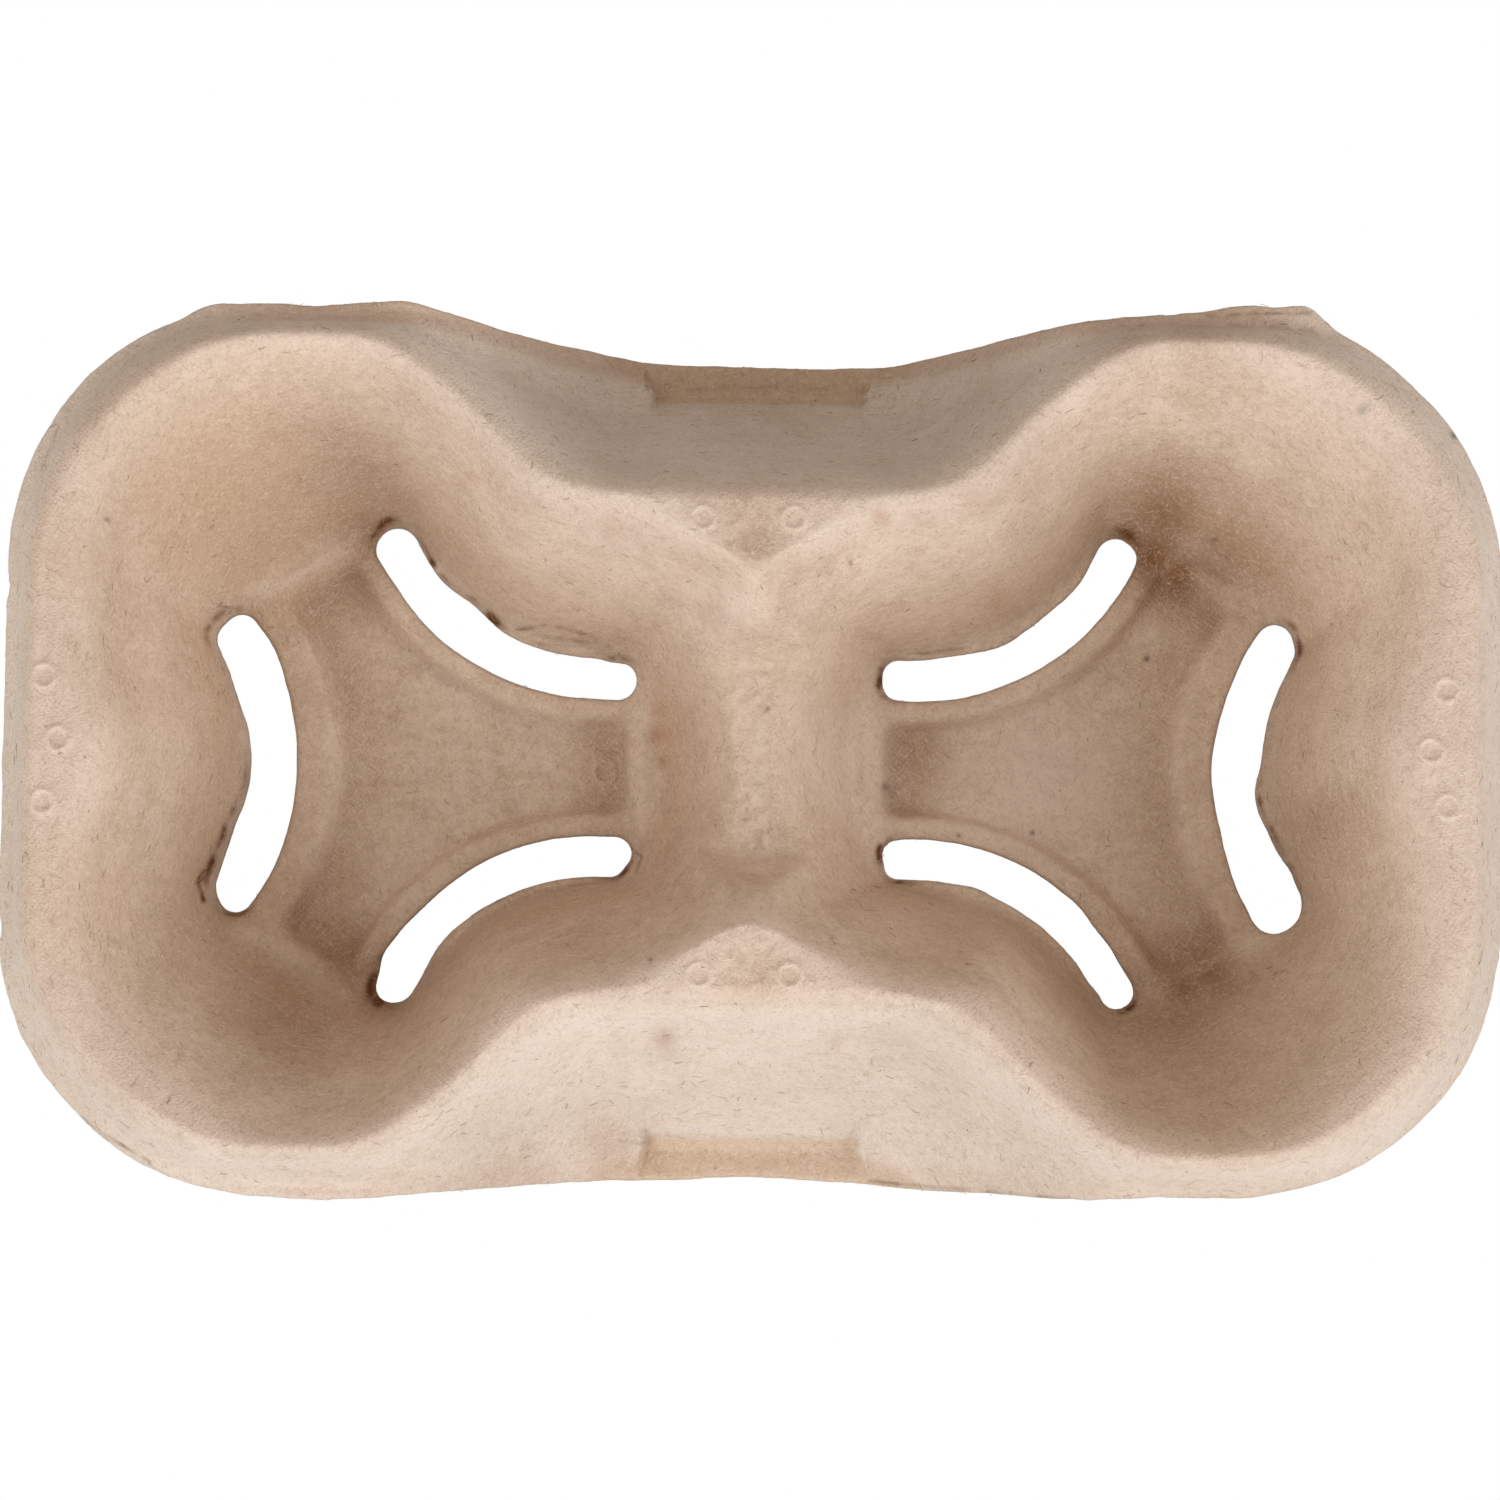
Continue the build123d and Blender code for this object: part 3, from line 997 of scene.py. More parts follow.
    def face(self, steps: Triple) -> tuple[Array, list[list[int]]]:
        """Flat triangulation of the sheet between its cut edges.

        Args:
            steps: spacing of the points, as for spread.

        Returns:
            The points, those of the edges first and in order, and the triangles.
        """
        points = np.concatenate([*self.loops, *into_sheet(self.loops, self.edge_strip), self.spread(steps)])
        owner = np.full(len(points), -1)
        edges = []
        for number, a, b in self.segments():
            owner[a] = number
            edges.append((a, b))
        found = delaunay_2d_cdt([Vector(p) for p in points], edges, [], 0, self.snap)
        origin = [ids[0] if ids else -1 for ids in found[3]]
        triangles = []
        for triangle in found[2]:
            corners = [origin[corner] for corner in triangle]
            owners = {int(owner[corner]) for corner in corners}
            if -1 not in corners and (len(owners) > 1 or -1 in owners):
                triangles.append(corners)
        return points, triangles

    def edge_faces(self, middle: int, under: int) -> list[tuple[int, ...]]:
        """Two bands of faces round each cut edge.

        Args:
            middle: number of the first point half-way down the edges.
            under: number of the first point of the underside.

        Returns:
            The faces, by point numbers.
        """
        faces = []
        for number, a, b in self.segments():
            for high, low in ((0, middle), (middle, under)):
                band = (high + a, high + b, low + b, low + a)
                faces.append(band if number else band[::-1])
        return faces

    def build(self) -> bpy.types.Object:
        """Makes the closed sheet.

        Returns:
            The mesh object, at the origin, in metres.
        """
        self.loops = self.cut_edges()
        self.detail = self.detail_level(*self.grid.places())
        top_points, top_faces = self.face(self.top_steps)
        under_points, under_faces = self.face(self.under_steps)
        depth, stain = self.torn(*top_points.T)
        top_z = self.top(*top_points.T) - depth
        under_z = self.grid.read(self.under, *under_points.T)
        middle = np.concatenate(into_sheet(self.loops, -self.edge_bulge))
        rim = slice(0, len(middle))
        under_z[rim] = np.minimum(under_z[rim], top_z[rim] - self.skirt.wall * self.thinnest_share)
        middle_z = (top_z[rim] + under_z[rim]) / 2
        top_z[rim] -= self.edge_round
        under_z[rim] += self.edge_round * self.under_round_share
        levels = ((top_points, top_z), (under_points, under_z), (middle, middle_z))
        places = np.concatenate([np.column_stack(level) for level in levels])
        under_start = len(top_points)
        faces: list[Sequence[int]] = list(top_faces)
        faces += [[under_start + corner for corner in face[::-1]] for face in under_faces]
        faces += self.edge_faces(under_start + len(under_points), under_start)
        mesh = bpy.data.meshes.new("moulded_sheet")
        mesh.from_pydata((places * MM).tolist(), [], faces)
        mesh.update()
        open_edges = close_up(mesh)
        torn = np.zeros(len(places))
        torn[:under_start] = stain
        torn[-len(middle):] = Regions.cut_edge
        for name, values in Regions().values(self, places, np.arange(len(places)) < under_start).items():
            self.store(mesh, name, values)
        self.store(mesh, "torn", torn)
        LOG.info("moulded sheet: %d faces, %d open edges", len(faces), open_edges)
        return place("moulded_sheet", mesh)

    @staticmethod
    def store(mesh: bpy.types.Mesh, name: str, values: Array) -> None:
        """Stores a value for each point of a mesh."""
        layer = mesh.attributes.new(name, "FLOAT", "POINT")
        layer.data.foreach_set("value", np.asarray(values, dtype=np.float32))


@dataclass(frozen=True)
class Regions:
    """Where the sheet's finish changes.

    A side's ramp runs outward from the crest, or from the lip where it says lip, and pairs of
    strengths are for the back and the front, or for the left and the right pocket.
    """

    cut_edge: float = 0.22
    outer_side: Ramp = Ramp(-1.0, 2.0)
    rim_side: Ramp = Ramp(-9.0, -5.0)
    rim_height: Ramp = Ramp(36.0, 43.0)
    ledge_height: Ramp = Ramp(6.5, 3.5)
    ledge_side: Ramp = Ramp(8.0, 12.0)
    ledge_strengths: Couple = (0.8, 0.65)
    lip_side: Ramp = Ramp(-3.6, -2.0)
    lip_length: Ramp = Ramp(88.0, 58.0)
    lip_strengths: Couple = (0.55, 0.2)
    # Painted shade: tan that deepens towards the bottom of the pockets, off the seat.
    deep_height: Ramp = Ramp(34.0, 8.0)
    deep_seat: Ramp = Ramp(-1.5, 2.5)
    deep_lost_where_pale: float = 0.7
    deep_margin: float = 0.4
    deep_past_margin: Ramp = Ramp(6.0, 11.0)
    tan_strength: float = 1.6
    crest_pale: float = 0.7
    crest_pale_height: Ramp = Ramp(37.0, 44.0)
    outer_pale_height: Ramp = Ramp(33.0, 41.0)
    outer_pale_back: float = 0.5
    back_start: float = 30.0
    strip_pale: float = 0.75
    strip_half_length: float = 20.0
    # Painted highlight along the crest ridge and on the arm-end beads; the rims of the mould marks are
    # lightened too.
    ridge_away: float = 0.3
    ridge_near: Ramp = Ramp(20.0, 10.0)
    bead_highlight_strengths: Couple = (0.9, 0.6)
    mark_strength: float = 0.7
    mark_ring: Bell = Bell(1.6, 0.4)

    def values(self, sheet: CarrierSheet, places: Array, upper: Array) -> dict[str, Array]:
        """Strength of each region.

        Args:
            sheet: the sheet that is dressed.
            places: the points of its mesh.
            upper: which of them are on the upper face.

        Returns:
            The strengths at the points, by the region's name.
        """
        x, y, z = places.T
        skirt, pockets = sheet.skirt, sheet.pockets
        outside = skirt.crest.distance(x, y)
        outer = self.outer_side.at(outside)
        ledge = self.ledge_height.at(z) * self.ledge_side.at(outside)
        ledge = ledge * np.where(y > 0, *self.ledge_strengths)
        lip = self.lip_side.at(skirt.lip.distance(x, y)) * self.lip_length.at(np.abs(x))
        lip = lip * np.where(y > 0, *self.lip_strengths) * (np.abs(y) > skirt.long_side)
        stain = patch_strength(PALE_STAINS, x, y)
        seat = np.minimum(*(pocket.seat_distance(x, y) for pocket in pockets))
        # Painted shade that darkens the pockets towards the bottom.
        deep = self.deep_height.at(z) * (1 - outer) * self.deep_seat.at(seat)
        deep = deep * (1 - self.deep_lost_where_pale * stain)
        deep = deep * (self.deep_margin + (1 - self.deep_margin) * self.deep_past_margin.at(z))
        side = outer * np.where(y > self.back_start, self.outer_pale_back, 1.0)
        pale = (stain, self.crest_pale * (1 - outer) * self.crest_pale_height.at(z),
                side * self.outer_pale_height.at(z),
                self.strip_pale * sheet.rough(x, y) * (np.abs(y) < self.strip_half_length))
        wall = np.minimum(*(pocket.wall_height(x, y) for pocket in pockets))
        # Painted highlight along the crest ridge and on the bead tops; the mark rims are lightened too.
        ridge = sheet.ridge_line.at(wall - skirt.height) * (1 - outer)
        ridge = ridge * (self.ridge_away + (1 - self.ridge_away) * self.ridge_near.at(np.abs(x)))
        beads = (strength * np.clip(pocket.tip_beads(x, y) / pocket.bead, 0, 1)
                 for pocket, strength in zip(pockets, self.bead_highlight_strengths))
        rings = self.mark_strength * self.mark_ring.at(sheet.from_mark(x, y))
        return {
            "red_stain": upper * patch_strength(RED_STAINS, x, y),
            # Real dark specks, and painted shade on the back outer wall.
            "dark_stain": upper * patch_strength(DARK_SPOTS + NORTH_WALL_SHADE, x, y),
            # Painted shade at the feet of the pocket walls and on a few rims and lands.
            "foot": upper * patch_strength(PAINTED_SHADE_SPOTS, x, y),
            "pale": np.max(pale, axis=0),
            # Painted highlight on ridges and bead tops, and lightened mark rims.
            "ridge": upper * np.max((ridge, *beads, rings), axis=0),
            "outer": outer,
            "rim": self.rim_side.at(outside) * self.rim_height.at(z),
            "pad": np.maximum(*(pocket.pads(x, y) for pocket in pockets)),
            "ledge": np.maximum(ledge, lip),
            # Painted depth shade, joined by the tan patches, two of which are painted shade on the lands.
            "deep": np.maximum(deep, self.tan_strength * patch_strength(TAN_PATCHES_AND_SHADE, x, y) * (1 - outer)),
            "upper": upper,
        }


def linear(value: float) -> float:
    """Linear value of one display channel between 0 and 255, by the sRGB curve."""
    value /= 255.0
    return value / 12.92 if value <= 0.04045 else ((value + 0.055) / 1.055) ** 2.4


def colour(tone: Display) -> Rgba:
    """Linear colour for display values between 0 and 255."""
    return (*(linear(value) for value in tone), 1.0)


class Graph:
    """Shorthand for filling a node tree."""

    def __init__(self, tree: bpy.types.NodeTree) -> None:
        """Empties the tree."""
        self.tree = tree
        tree.nodes.clear()

    def add(self, kind: str, inputs: dict | None = None, **settings: object) -> bpy.types.Node:
        """Adds a node.

        Args:
            kind: the node's type, without its prefix where that is ShaderNode.
            inputs: socket name or number to a value or another socket.
            settings: attributes of the node.

        Returns:
            The new node.
        """
        node = self.tree.nodes.new(kind if "Node" in kind else "ShaderNode" + kind)
        for key, value in settings.items():
            setattr(node, key, value)
        for key, value in (inputs or {}).items():
            if isinstance(value, Socket):
                self.tree.links.new(value, node.inputs[key])
            else:
                node.inputs[key].default_value = value
        return node

    def math(self, operation: str, *values: object) -> Socket:
        """Result of a math node on the given values."""
        return self.add("Math", dict(enumerate(values)), operation=operation).outputs[0]

    def total(self, *terms: tuple[Socket, float]) -> Socket:
        """Sum of sockets, each times its factor.

        Args:
            terms: pairs of a socket and a factor.

        Returns:
            The sum.
        """
        parts = [self.math("MULTIPLY", *term) for term in terms]
        whole = parts[0]
        for part in parts[1:]:
            whole = self.math("ADD", whole, part)
        return whole

    def ramp(self, source: Socket, low: float, high: float, at_low: float, at_high: float) -> Socket:
        """Source remapped between two limits and clamped."""
        return self.add("MapRange", {0: source, 1: low, 2: high, 3: at_low, 4: at_high}).outputs[0]

    def mix(self, share: object, first: object, second: object) -> Socket:
        """Blend of two colours."""
        return self.add("Mix", {0: share, 6: first, 7: second}, data_type="RGBA").outputs[2]

    def attribute(self, name: str) -> Socket:
        """Value of a point attribute."""
        return self.add("Attribute", attribute_name=name).outputs["Fac"]


class Finish(Graph):
    """Node tree of one new material."""

    shine: float = 0.15

    def __init__(self, name: str) -> None:
        """Starts an empty material."""
        self.material = bpy.data.materials.new(name)
        self.material.use_nodes = True
        super().__init__(self.material.node_tree)

    def matt(self, base: Socket, roughness: float, **more: Socket) -> bpy.types.Material:
        """Ends the material with a dull surface.

        Args:
            base: its colour.
            roughness: how rough it is.
            more: other inputs of the surface.

        Returns:
            The finished material.
        """
        given = {"Base Color": base, "Roughness": roughness, "Specular IOR Level": self.shine, **more}
        self.add("OutputMaterial", {"Surface": self.add("BsdfPrincipled", given).outputs[0]})
        return self.material


@dataclass(frozen=True)
class PulpFinish:
    """Matt moulded paper pulp: mottled beige, fibrous, printed by the mould's wire mesh, with painted shade
    in the pockets' depths, at the wall feet, on the back outer wall and in the tears, and painted highlight
    on the ridges.

    Lengths are in metres, and each blotch is a noise's scale, its detail and its share of the shade.
    """

    pocket: tuple[Display, Display] = ((201, 178, 160), (226, 206, 190))
    outer: tuple[Display, Display] = ((216, 199, 186), (231, 216, 206))
    rim_pale: Display = (235, 220, 211)
    # Tan of the ledge and lip, of the tan patches and of the painted depth shade.
    tan_and_shade: Display = (198, 166, 137)
    # Brown of the painted shade at the wall feet.
    shade_brown: Display = (136, 97, 60)
    printed: Display = (176, 146, 120)
    # Pale of the loose pale fibres, also the colour of the painted ridge highlight.
    pale_fibre_and_highlight: Display = (236, 220, 204)
    dark_fibre: Display = (150, 116, 88)
    # Brown of the torn fibres, with painted shade in the tears' gaps.
    torn_brown_and_gap_shade: Display = (112, 72, 44)
    red_brown: Display = (176, 128, 98)
    # Grey of the dark specks and of the painted shade on the back outer wall.
    speck_and_shade_grey: Display = (96, 88, 84)
    roughness: float = 0.95
    blotches: tuple[Triple, ...] = ((42, 4, 0.30), (150, 3, 0.25), (620, 3, 0.25), (2600, 2, 0.20))
    blotch_roughness: float = 0.6
    shade_limits: Couple = (0.42, 0.58)
    pale_share: float = 0.55
    deep_shade_share: float = 0.55
    ledge_share: float = 0.9
    ridge_highlight_share: float = 0.5
    red_share: float = 0.8
    wire_pitch: float = 0.00062
    wire_turns: Couple = (38.0, 128.0)
    wire_bend: float = 0.5
    print_shares: Couple = (0.75, 0.42)
    rim_print: float = 0.35
    fibre_size: Triple = (0.0017, 0.00030, 0.0005)
    fibre_turns: tuple[float, ...] = (17.0, 62.0, 108.0, 151.0)
    fibre_shift: Couple = (0.3, 0.1)
    fibre_detail: float = 2.0
    fibre_bend: float = 0.8
    pale_streak: tuple[float, ...] = (0.58, 0.72, 0.0, 0.34)
    dark_streak: tuple[float, ...] = (0.41, 0.27, 0.0, 0.26)
    speck_scale: float = 210.0
    speck: tuple[float, ...] = (0.055, 0.03, 0.0, 0.55)
    relief: float = 0.00016
    mottle_relief: float = 0.8
    fine_relief: float = 0.9
    streak_relief: float = 0.45
    print_relief: float = 0.5

    def streaks(self, graph: Graph, place: Socket) -> list[Socket]:
        """Noise drawn out into fibres that lie in four directions.

        Args:
            graph: the material's nodes.
            place: coordinates on the sheet.

        Returns:
            One noise for each direction.
        """
        found = []
        along, across = self.fibre_shift
        for number, turn in enumerate(self.fibre_turns):
            turned = graph.add("Mapping", {
                "Vector": place, "Location": (along * number, across, 0.0),
                "Rotation": (0.0, 0.0, math.radians(turn)), "Scale": self.fibre_size,
            }, vector_type="TEXTURE").outputs[0]
            found.append(graph.add("TexNoise", {
                "Vector": turned, "Scale": 1.0, "Detail": self.fibre_detail,
                "Distortion": self.fibre_bend}).outputs["Fac"])
        return found

    def wire_print(self, graph: Graph, place: Socket) -> Socket:
        """Crossed lines left by the mould's wire mesh.

        Args:
            graph: the material's nodes.
            place: coordinates on the sheet.

        Returns:
            1 on the crossings, 0 between the lines.
        """
        waves = []
        for turn in self.wire_turns:
            turned = graph.add("Mapping", {
                "Vector": place, "Rotation": (0.0, 0.0, math.radians(turn))}).outputs[0]
            waves.append(graph.add("TexWave", {
                "Vector": turned, "Scale": WAVE_LENGTH / self.wire_pitch,
                "Distortion": self.wire_bend, "Detail": 0.0}).outputs["Fac"])
        return graph.math("MULTIPLY", *waves)

    def material(self) -> bpy.types.Material:
        """Builds the material.

        Returns:
            The material, which reads the sheet's point attributes.
        """
        graph = Finish("moulded_pulp")
        place = graph.add("TexCoord").outputs["Object"]
        noises = [graph.add("TexNoise", {"Vector": place, "Scale": scale, "Detail": detail,
                                         "Roughness": self.blotch_roughness}).outputs["Fac"]
                  for scale, detail, _ in self.blotches]
        shade = graph.total(*((noise, blotch[2]) for noise, blotch in zip(noises, self.blotches)))
        share = graph.ramp(shade, *self.shade_limits, 0.0, 1.0)
        wires, streaks = self.wire_print(graph, place), self.streaks(graph, place)
        dots = graph.add("TexVoronoi", {"Vector": place, "Scale": self.speck_scale}).outputs["Distance"]
        names = ("pale", "deep", "ledge", "ridge", "pad", "foot", "red_stain", "dark_stain", "torn",
                 "outer", "rim")
        pale, deep, ledge, ridge, pad, foot, red, specks_and_shade, torn, outer, rim = map(graph.attribute, names)
        tints = [
            (graph.total((pale, self.pale_share)), self.rim_pale),
            # Painted depth shade, and the tan of the ledge and lip.
            (graph.total((deep, self.deep_shade_share), (ledge, self.ledge_share)), self.tan_and_shade),
            # Painted highlight on ridges and bead tops.
            (graph.total((ridge, self.ridge_highlight_share)), self.pale_fibre_and_highlight),
            (graph.math("MULTIPLY", pad, graph.ramp(wires, 0.0, 1.0, *self.print_shares)), self.printed),
            # Painted shade at the wall feet.
            (foot, self.shade_brown),
        ]
        for streak in streaks:
            tints.append((graph.ramp(streak, *self.pale_streak), self.pale_fibre_and_highlight))
            tints.append((graph.ramp(streak, *self.dark_streak), self.dark_fibre))
        tints += [
            (graph.ramp(dots, *self.speck), self.dark_fibre),
            (graph.total((red, self.red_share)), self.red_brown),
            # Dark specks, and painted shade on the back outer wall.
            (specks_and_shade, self.speck_and_shade_grey),
            # Tears: brown fibres with painted shade in the gaps.
            (torn, self.torn_brown_and_gap_shade),
        ]
        inside, outside = (graph.mix(share, *map(colour, tones)) for tones in (self.pocket, self.outer))
        base = graph.mix(outer, inside, outside)
        for strength, tone in tints:
            base = graph.mix(strength, base, colour(tone))
        masked = graph.math("MULTIPLY", wires, graph.math("MAXIMUM", pad, graph.total((rim, self.rim_print))))
        relief = graph.total((noises[2], self.mottle_relief), (noises[3], self.fine_relief),
                             *((streak, self.streak_relief) for streak in streaks),
                             (masked, self.print_relief))
        bumped = graph.add("Bump", {"Height": relief, "Distance": self.relief, "Strength": 1.0})
        return graph.matt(base, self.roughness, Normal=bumped.outputs["Normal"])


@dataclass(frozen=True)
class Fibres:
    """One kind of loose fibre, scattered over the upper face by Geometry Nodes.

    The bow and the rise are shares of the length, the tilt is in radians, and the stretches are the
    limits of a strand's random scale along, across and up.
    """

    name: str
    density: float
    torn_share: float
    length: float
    thickness: float
    tones: tuple[Display, Display]
    seed: int
    roughness: float = 0.9
    tone_scale: float = 300.0
    tone_detail: float = 2.0
    tone_limits: Couple = (0.4, 0.6)
    bow: float = 0.3
    rise: float = 0.1
    tilt: float = 0.1
    segments: int = 4
    sides: int = 3
    least_stretch: Triple = (0.4, -1.5, 0.6)
    most_stretch: Triple = (1.6, 1.5, 1.4)

    def material(self) -> bpy.types.Material:
        """Builds a dull finish that shifts between two tones.

        Returns:
            The material.
        """
        graph = Finish(self.name)
        noise = graph.add("TexNoise", {"Vector": graph.add("TexCoord").outputs["Object"],
                                       "Scale": self.tone_scale, "Detail": self.tone_detail}).outputs["Fac"]
        base = graph.mix(graph.ramp(noise, *self.tone_limits, 0.0, 1.0), *map(colour, self.tones))
        return graph.matt(base, self.roughness)

    def strand(self, graph: Graph, length: Socket, thickness: Socket) -> Socket:
        """One bent strand along X.

        Args:
            graph: the tree's nodes.
            length: its length.
            thickness: its radius.

        Returns:
            Its mesh.
        """
        half, back, bow, rise = (graph.math("MULTIPLY", length, share)
                                 for share in (0.5, -0.5, self.bow, self.rise))
        start, middle, end = (graph.add("CombineXYZ", place).outputs[0]
                              for place in ({0: back}, {1: bow, 2: rise}, {0: half}))
        line = graph.add("GeometryNodeCurveQuadraticBezier", {
            "Resolution": self.segments, "Start": start, "Middle": middle, "End": end}).outputs[0]
        ring = graph.add("GeometryNodeCurvePrimitiveCircle", {"Resolution": self.sides, "Radius": thickness})
        return graph.add("GeometryNodeCurveToMesh", {
            "Curve": line, "Profile Curve": ring.outputs[0], "Fill Caps": True}).outputs[0]

    def tree(self) -> bpy.types.NodeTree:
        """Builds the tree that scatters strands, turned at random, over the sheet.

        Returns:
            The tree, with the sheet and the sizes as its inputs.
        """
        tree = bpy.data.node_groups.new(self.name, "GeometryNodeTree")
        for name, kind in (("Sheet", "Object"), ("Density", "Float"), ("Torn Share", "Float"),
                           ("Length", "Float"), ("Thickness", "Float"), ("Seed", "Int"),
                           ("Finish", "Material")):
            tree.interface.new_socket(name, in_out="INPUT", socket_type="NodeSocket" + kind)
        tree.interface.new_socket("Geometry", in_out="OUTPUT", socket_type="NodeSocketGeometry")
        graph = Graph(tree)
        given = graph.add("NodeGroupInput").outputs
        seed = given["Seed"]
        sheet = graph.add("GeometryNodeObjectInfo", {"Object": given["Sheet"]}).outputs["Geometry"]
        upper, torn = (graph.add("GeometryNodeInputNamedAttribute", {"Name": name}).outputs["Attribute"]
                       for name in ("upper", "torn"))
        share = graph.math("MULTIPLY", graph.math("MULTIPLY_ADD", torn, given["Torn Share"], 1.0), upper)
        points = graph.add("GeometryNodeDistributePointsOnFaces", {
            "Mesh": sheet, "Density": graph.math("MULTIPLY", share, given["Density"]), "Seed": seed}).outputs
        turn, stretch = (graph.add("FunctionNodeRandomValue", {0: least, 1: most, "Seed": seed},
                                   data_type="FLOAT_VECTOR").outputs[0]
                         for least, most in (((-self.tilt, -self.tilt, 0.0),
                                              (self.tilt, self.tilt, 2 * math.pi)),
                                             (self.least_stretch, self.most_stretch)))
        turned = graph.add("FunctionNodeRotateRotation", {
            "Rotation": points["Rotation"],
            "Rotate By": graph.add("FunctionNodeEulerToRotation", {0: turn}).outputs[0],
        }, rotation_space="LOCAL").outputs[0]
        strands = graph.add("GeometryNodeInstanceOnPoints", {
            "Points": points["Points"], "Rotation": turned, "Scale": stretch,
            "Instance": self.strand(graph, given["Length"], given["Thickness"])}).outputs[0]
        real = graph.add("GeometryNodeRealizeInstances", {"Geometry": strands}).outputs[0]
        dressed = graph.add("GeometryNodeSetMaterial", {"Geometry": real, "Material": given["Finish"]})
        graph.add("NodeGroupOutput", {"Geometry": dressed.outputs[0]})
        return tree

    def build(self, sheet: bpy.types.Object) -> bpy.types.Object:
        """Scatters the fibres and turns them into a plain mesh.

        Args:
            sheet: the moulded sheet that carries them.

        Returns:
            The fibres as one object.
        """
        piece = place(self.name, bpy.data.meshes.new(self.name + "_start"))
        modifier = piece.modifiers.new("scatter", "NODES")
        modifier.node_group = self.tree()
        values = {"Sheet": sheet, "Density": self.density, "Torn Share": self.torn_share,
                  "Length": self.length * MM, "Thickness": self.thickness * MM, "Seed": self.seed,
                  "Finish": self.material()}
        for socket in modifier.node_group.interface.items_tree:
            if socket.in_out == "INPUT":
                modifier[socket.identifier] = values[socket.name]
        evaluated = piece.evaluated_get(bpy.context.evaluated_depsgraph_get())
        mesh = bpy.data.meshes.new_from_object(evaluated)
        piece.modifiers.clear()
        piece.data = mesh
        close_up(mesh)
        LOG.info("%s: %d faces", self.name, len(mesh.polygons))
        return piece


@dataclass(frozen=True)
class Lamp:
    """Broad far lamp: how high it stands, how far it is turned from the front, how strong, how soft."""

    name: str
    lift: float
    turn: float
    strength: float
    spread: float


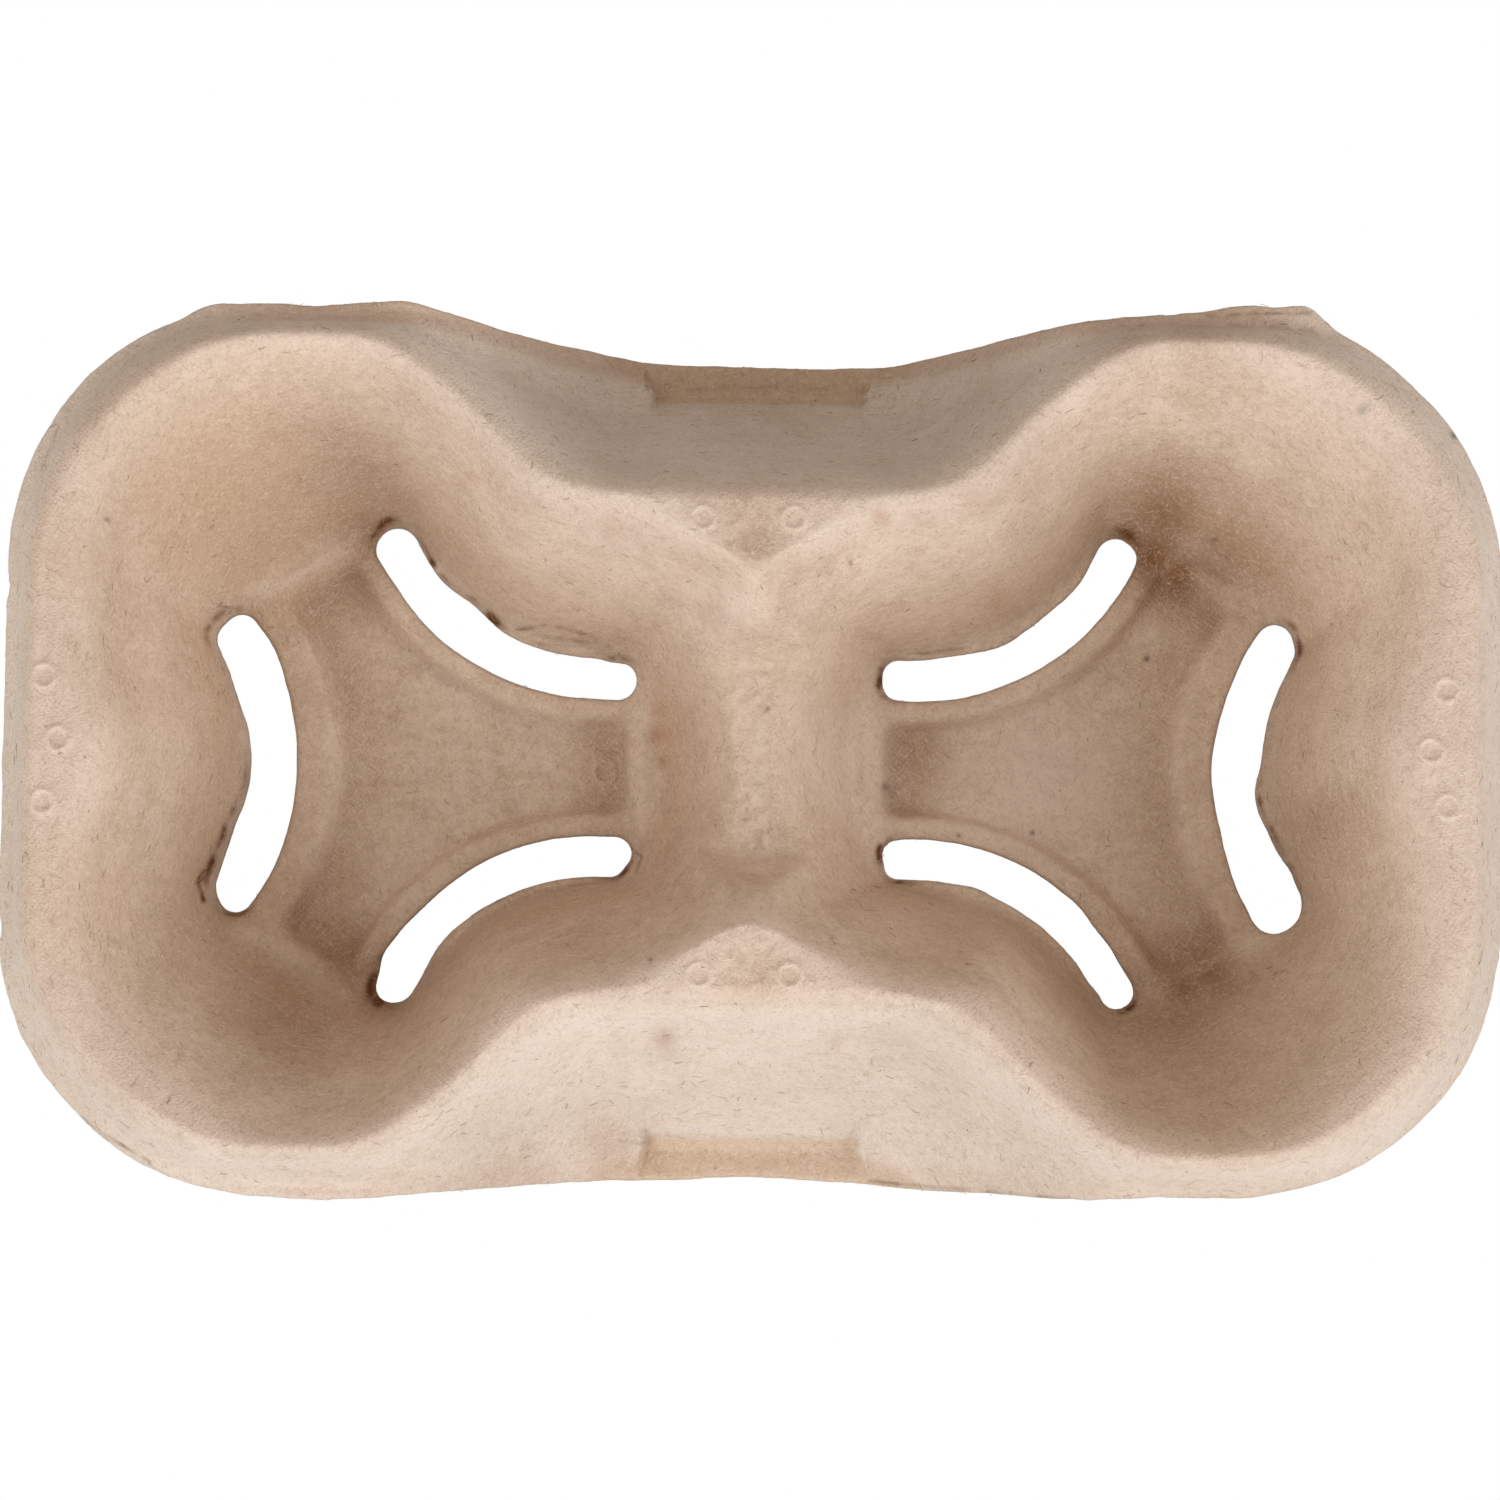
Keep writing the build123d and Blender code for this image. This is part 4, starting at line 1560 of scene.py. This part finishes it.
@dataclass
class Studio:
    """Plain pale floor, broad lamps from the front and the sides, and the camera above.

    The floor's sizes and the camera's reach are in metres, the other lengths in millimetres.
    """

    camera_turn: float = 8.402
    camera_lift: float = 84.499
    camera_roll: float = -7.748
    camera_distance: float = 745.0
    camera_reach: float = 20.0
    look_at: Triple = (-0.582, 1.275, 20.0)
    focal_pixels: float = 5231.9
    frame_pixels: float = 1500.0
    sensor: float = 36.0
    lamps: tuple[Lamp, ...] = (
        Lamp("front_key", 25.0, -35.0, 1.40, 40.0), Lamp("right_key", 25.0, 70.0, 1.56, 40.0),
        Lamp("left_fill", 50.0, -90.0, 0.38, 60.0),
    )
    lamp_tone: Triple = (0.94, 0.99, 1.0)
    sky: Rgba = (1.0, 0.86, 0.72, 1.0)
    sky_strength: float = 0.51
    floor_half: float = 3.0
    floor_z: float = -0.0002
    floor_grey: Rgba = (0.35, 0.35, 0.35, 1.0)
    floor_glow: Rgba = (1.0, 1.0, 1.0, 1.0)

    def floor(self) -> bpy.types.Object:
        """Makes the pale floor just under the carrier.

        Returns:
            The floor, which glows white only where the camera sees it.
        """
        mesh = bpy.data.meshes.new("floor")
        corners = [(x * self.floor_half, y * self.floor_half, self.floor_z)
                   for x, y in ((-1, -1), (1, -1), (1, 1), (-1, 1))]
        mesh.from_pydata(corners, [], [(0, 1, 2, 3)])
        graph = Finish("floor_white")
        diffuse = graph.add("BsdfDiffuse", {"Color": self.floor_grey})
        glow = graph.add("Emission", {"Color": self.floor_glow, "Strength": 1.0})
        seen = graph.add("LightPath").outputs["Is Camera Ray"]
        both = graph.add("MixShader", {0: seen, 1: diffuse.outputs[0], 2: glow.outputs[0]})
        graph.add("OutputMaterial", {"Surface": both.outputs[0]})
        mesh.materials.append(graph.material)
        floor = place("floor", mesh)
        return floor

    def lights(self) -> None:
        """Adds the broad lamps and the soft surrounding light."""
        for entry in self.lamps:
            lamp = bpy.data.lights.new(entry.name, "SUN")
            lamp.energy = entry.strength
            lamp.color = self.lamp_tone
            lamp.angle = math.radians(entry.spread)
            turned = (math.radians(90.0 - entry.lift), 0.0, math.radians(entry.turn))
            place(entry.name, lamp).rotation_euler = turned
        world = bpy.data.worlds.new("soft_room")
        world.use_nodes = True
        back = world.node_tree.nodes["Background"]
        back.inputs[0].default_value = self.sky
        back.inputs[1].default_value = self.sky_strength
        bpy.context.scene.world = world

    def camera(self) -> None:
        """Places the camera almost straight above, tipped a little towards the front."""
        turn, lift, roll = map(math.radians, (self.camera_turn, self.camera_lift, self.camera_roll))
        away = Vector((math.cos(lift) * math.sin(turn), -math.cos(lift) * math.cos(turn), math.sin(lift)))
        right = Vector((math.cos(turn), math.sin(turn), 0.0))
        upward = right.cross(-away)
        rolled_right = right * math.cos(roll) + upward * math.sin(roll)
        rolled_up = upward * math.cos(roll) - right * math.sin(roll)
        lens = bpy.data.cameras.new("camera")
        lens.lens = self.focal_pixels / self.frame_pixels * self.sensor
        lens.sensor_width = self.sensor
        lens.clip_end = self.camera_reach
        camera = place("camera", lens)
        turned = Matrix((rolled_right, rolled_up, away)).transposed().to_4x4()
        spot = (Vector(self.look_at) + away * self.camera_distance) * MM
        camera.matrix_world = Matrix.Translation(spot) @ turned
        bpy.context.scene.camera = camera

    def build(self) -> None:
        """Sets up the whole studio."""
        self.floor()
        self.lights()
        self.camera()
        bpy.context.scene.view_settings.view_transform = "Standard"


def main() -> None:
    logging.basicConfig(level=logging.INFO, format="%(message)s")
    sheet = CarrierSheet().build()
    sheet.data.materials.append(PulpFinish().material())
    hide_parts(NODE)
    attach(sheet, "root")
    for fibres in (
        Fibres("dark_fibres", 9000.0, 60.0, 1.0, 0.032, ((128, 94, 66), (172, 136, 104)), 21),
        Fibres("pale_fibres", 70000.0, 5.0, 1.4, 0.035, ((208, 188, 168), (228, 210, 193)), 22),
    ):
        piece = fibres.build(sheet)
        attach(piece, "root")
    Studio().build()
    LOG.info("studio ready")


if __name__ == "__main__":
    main()
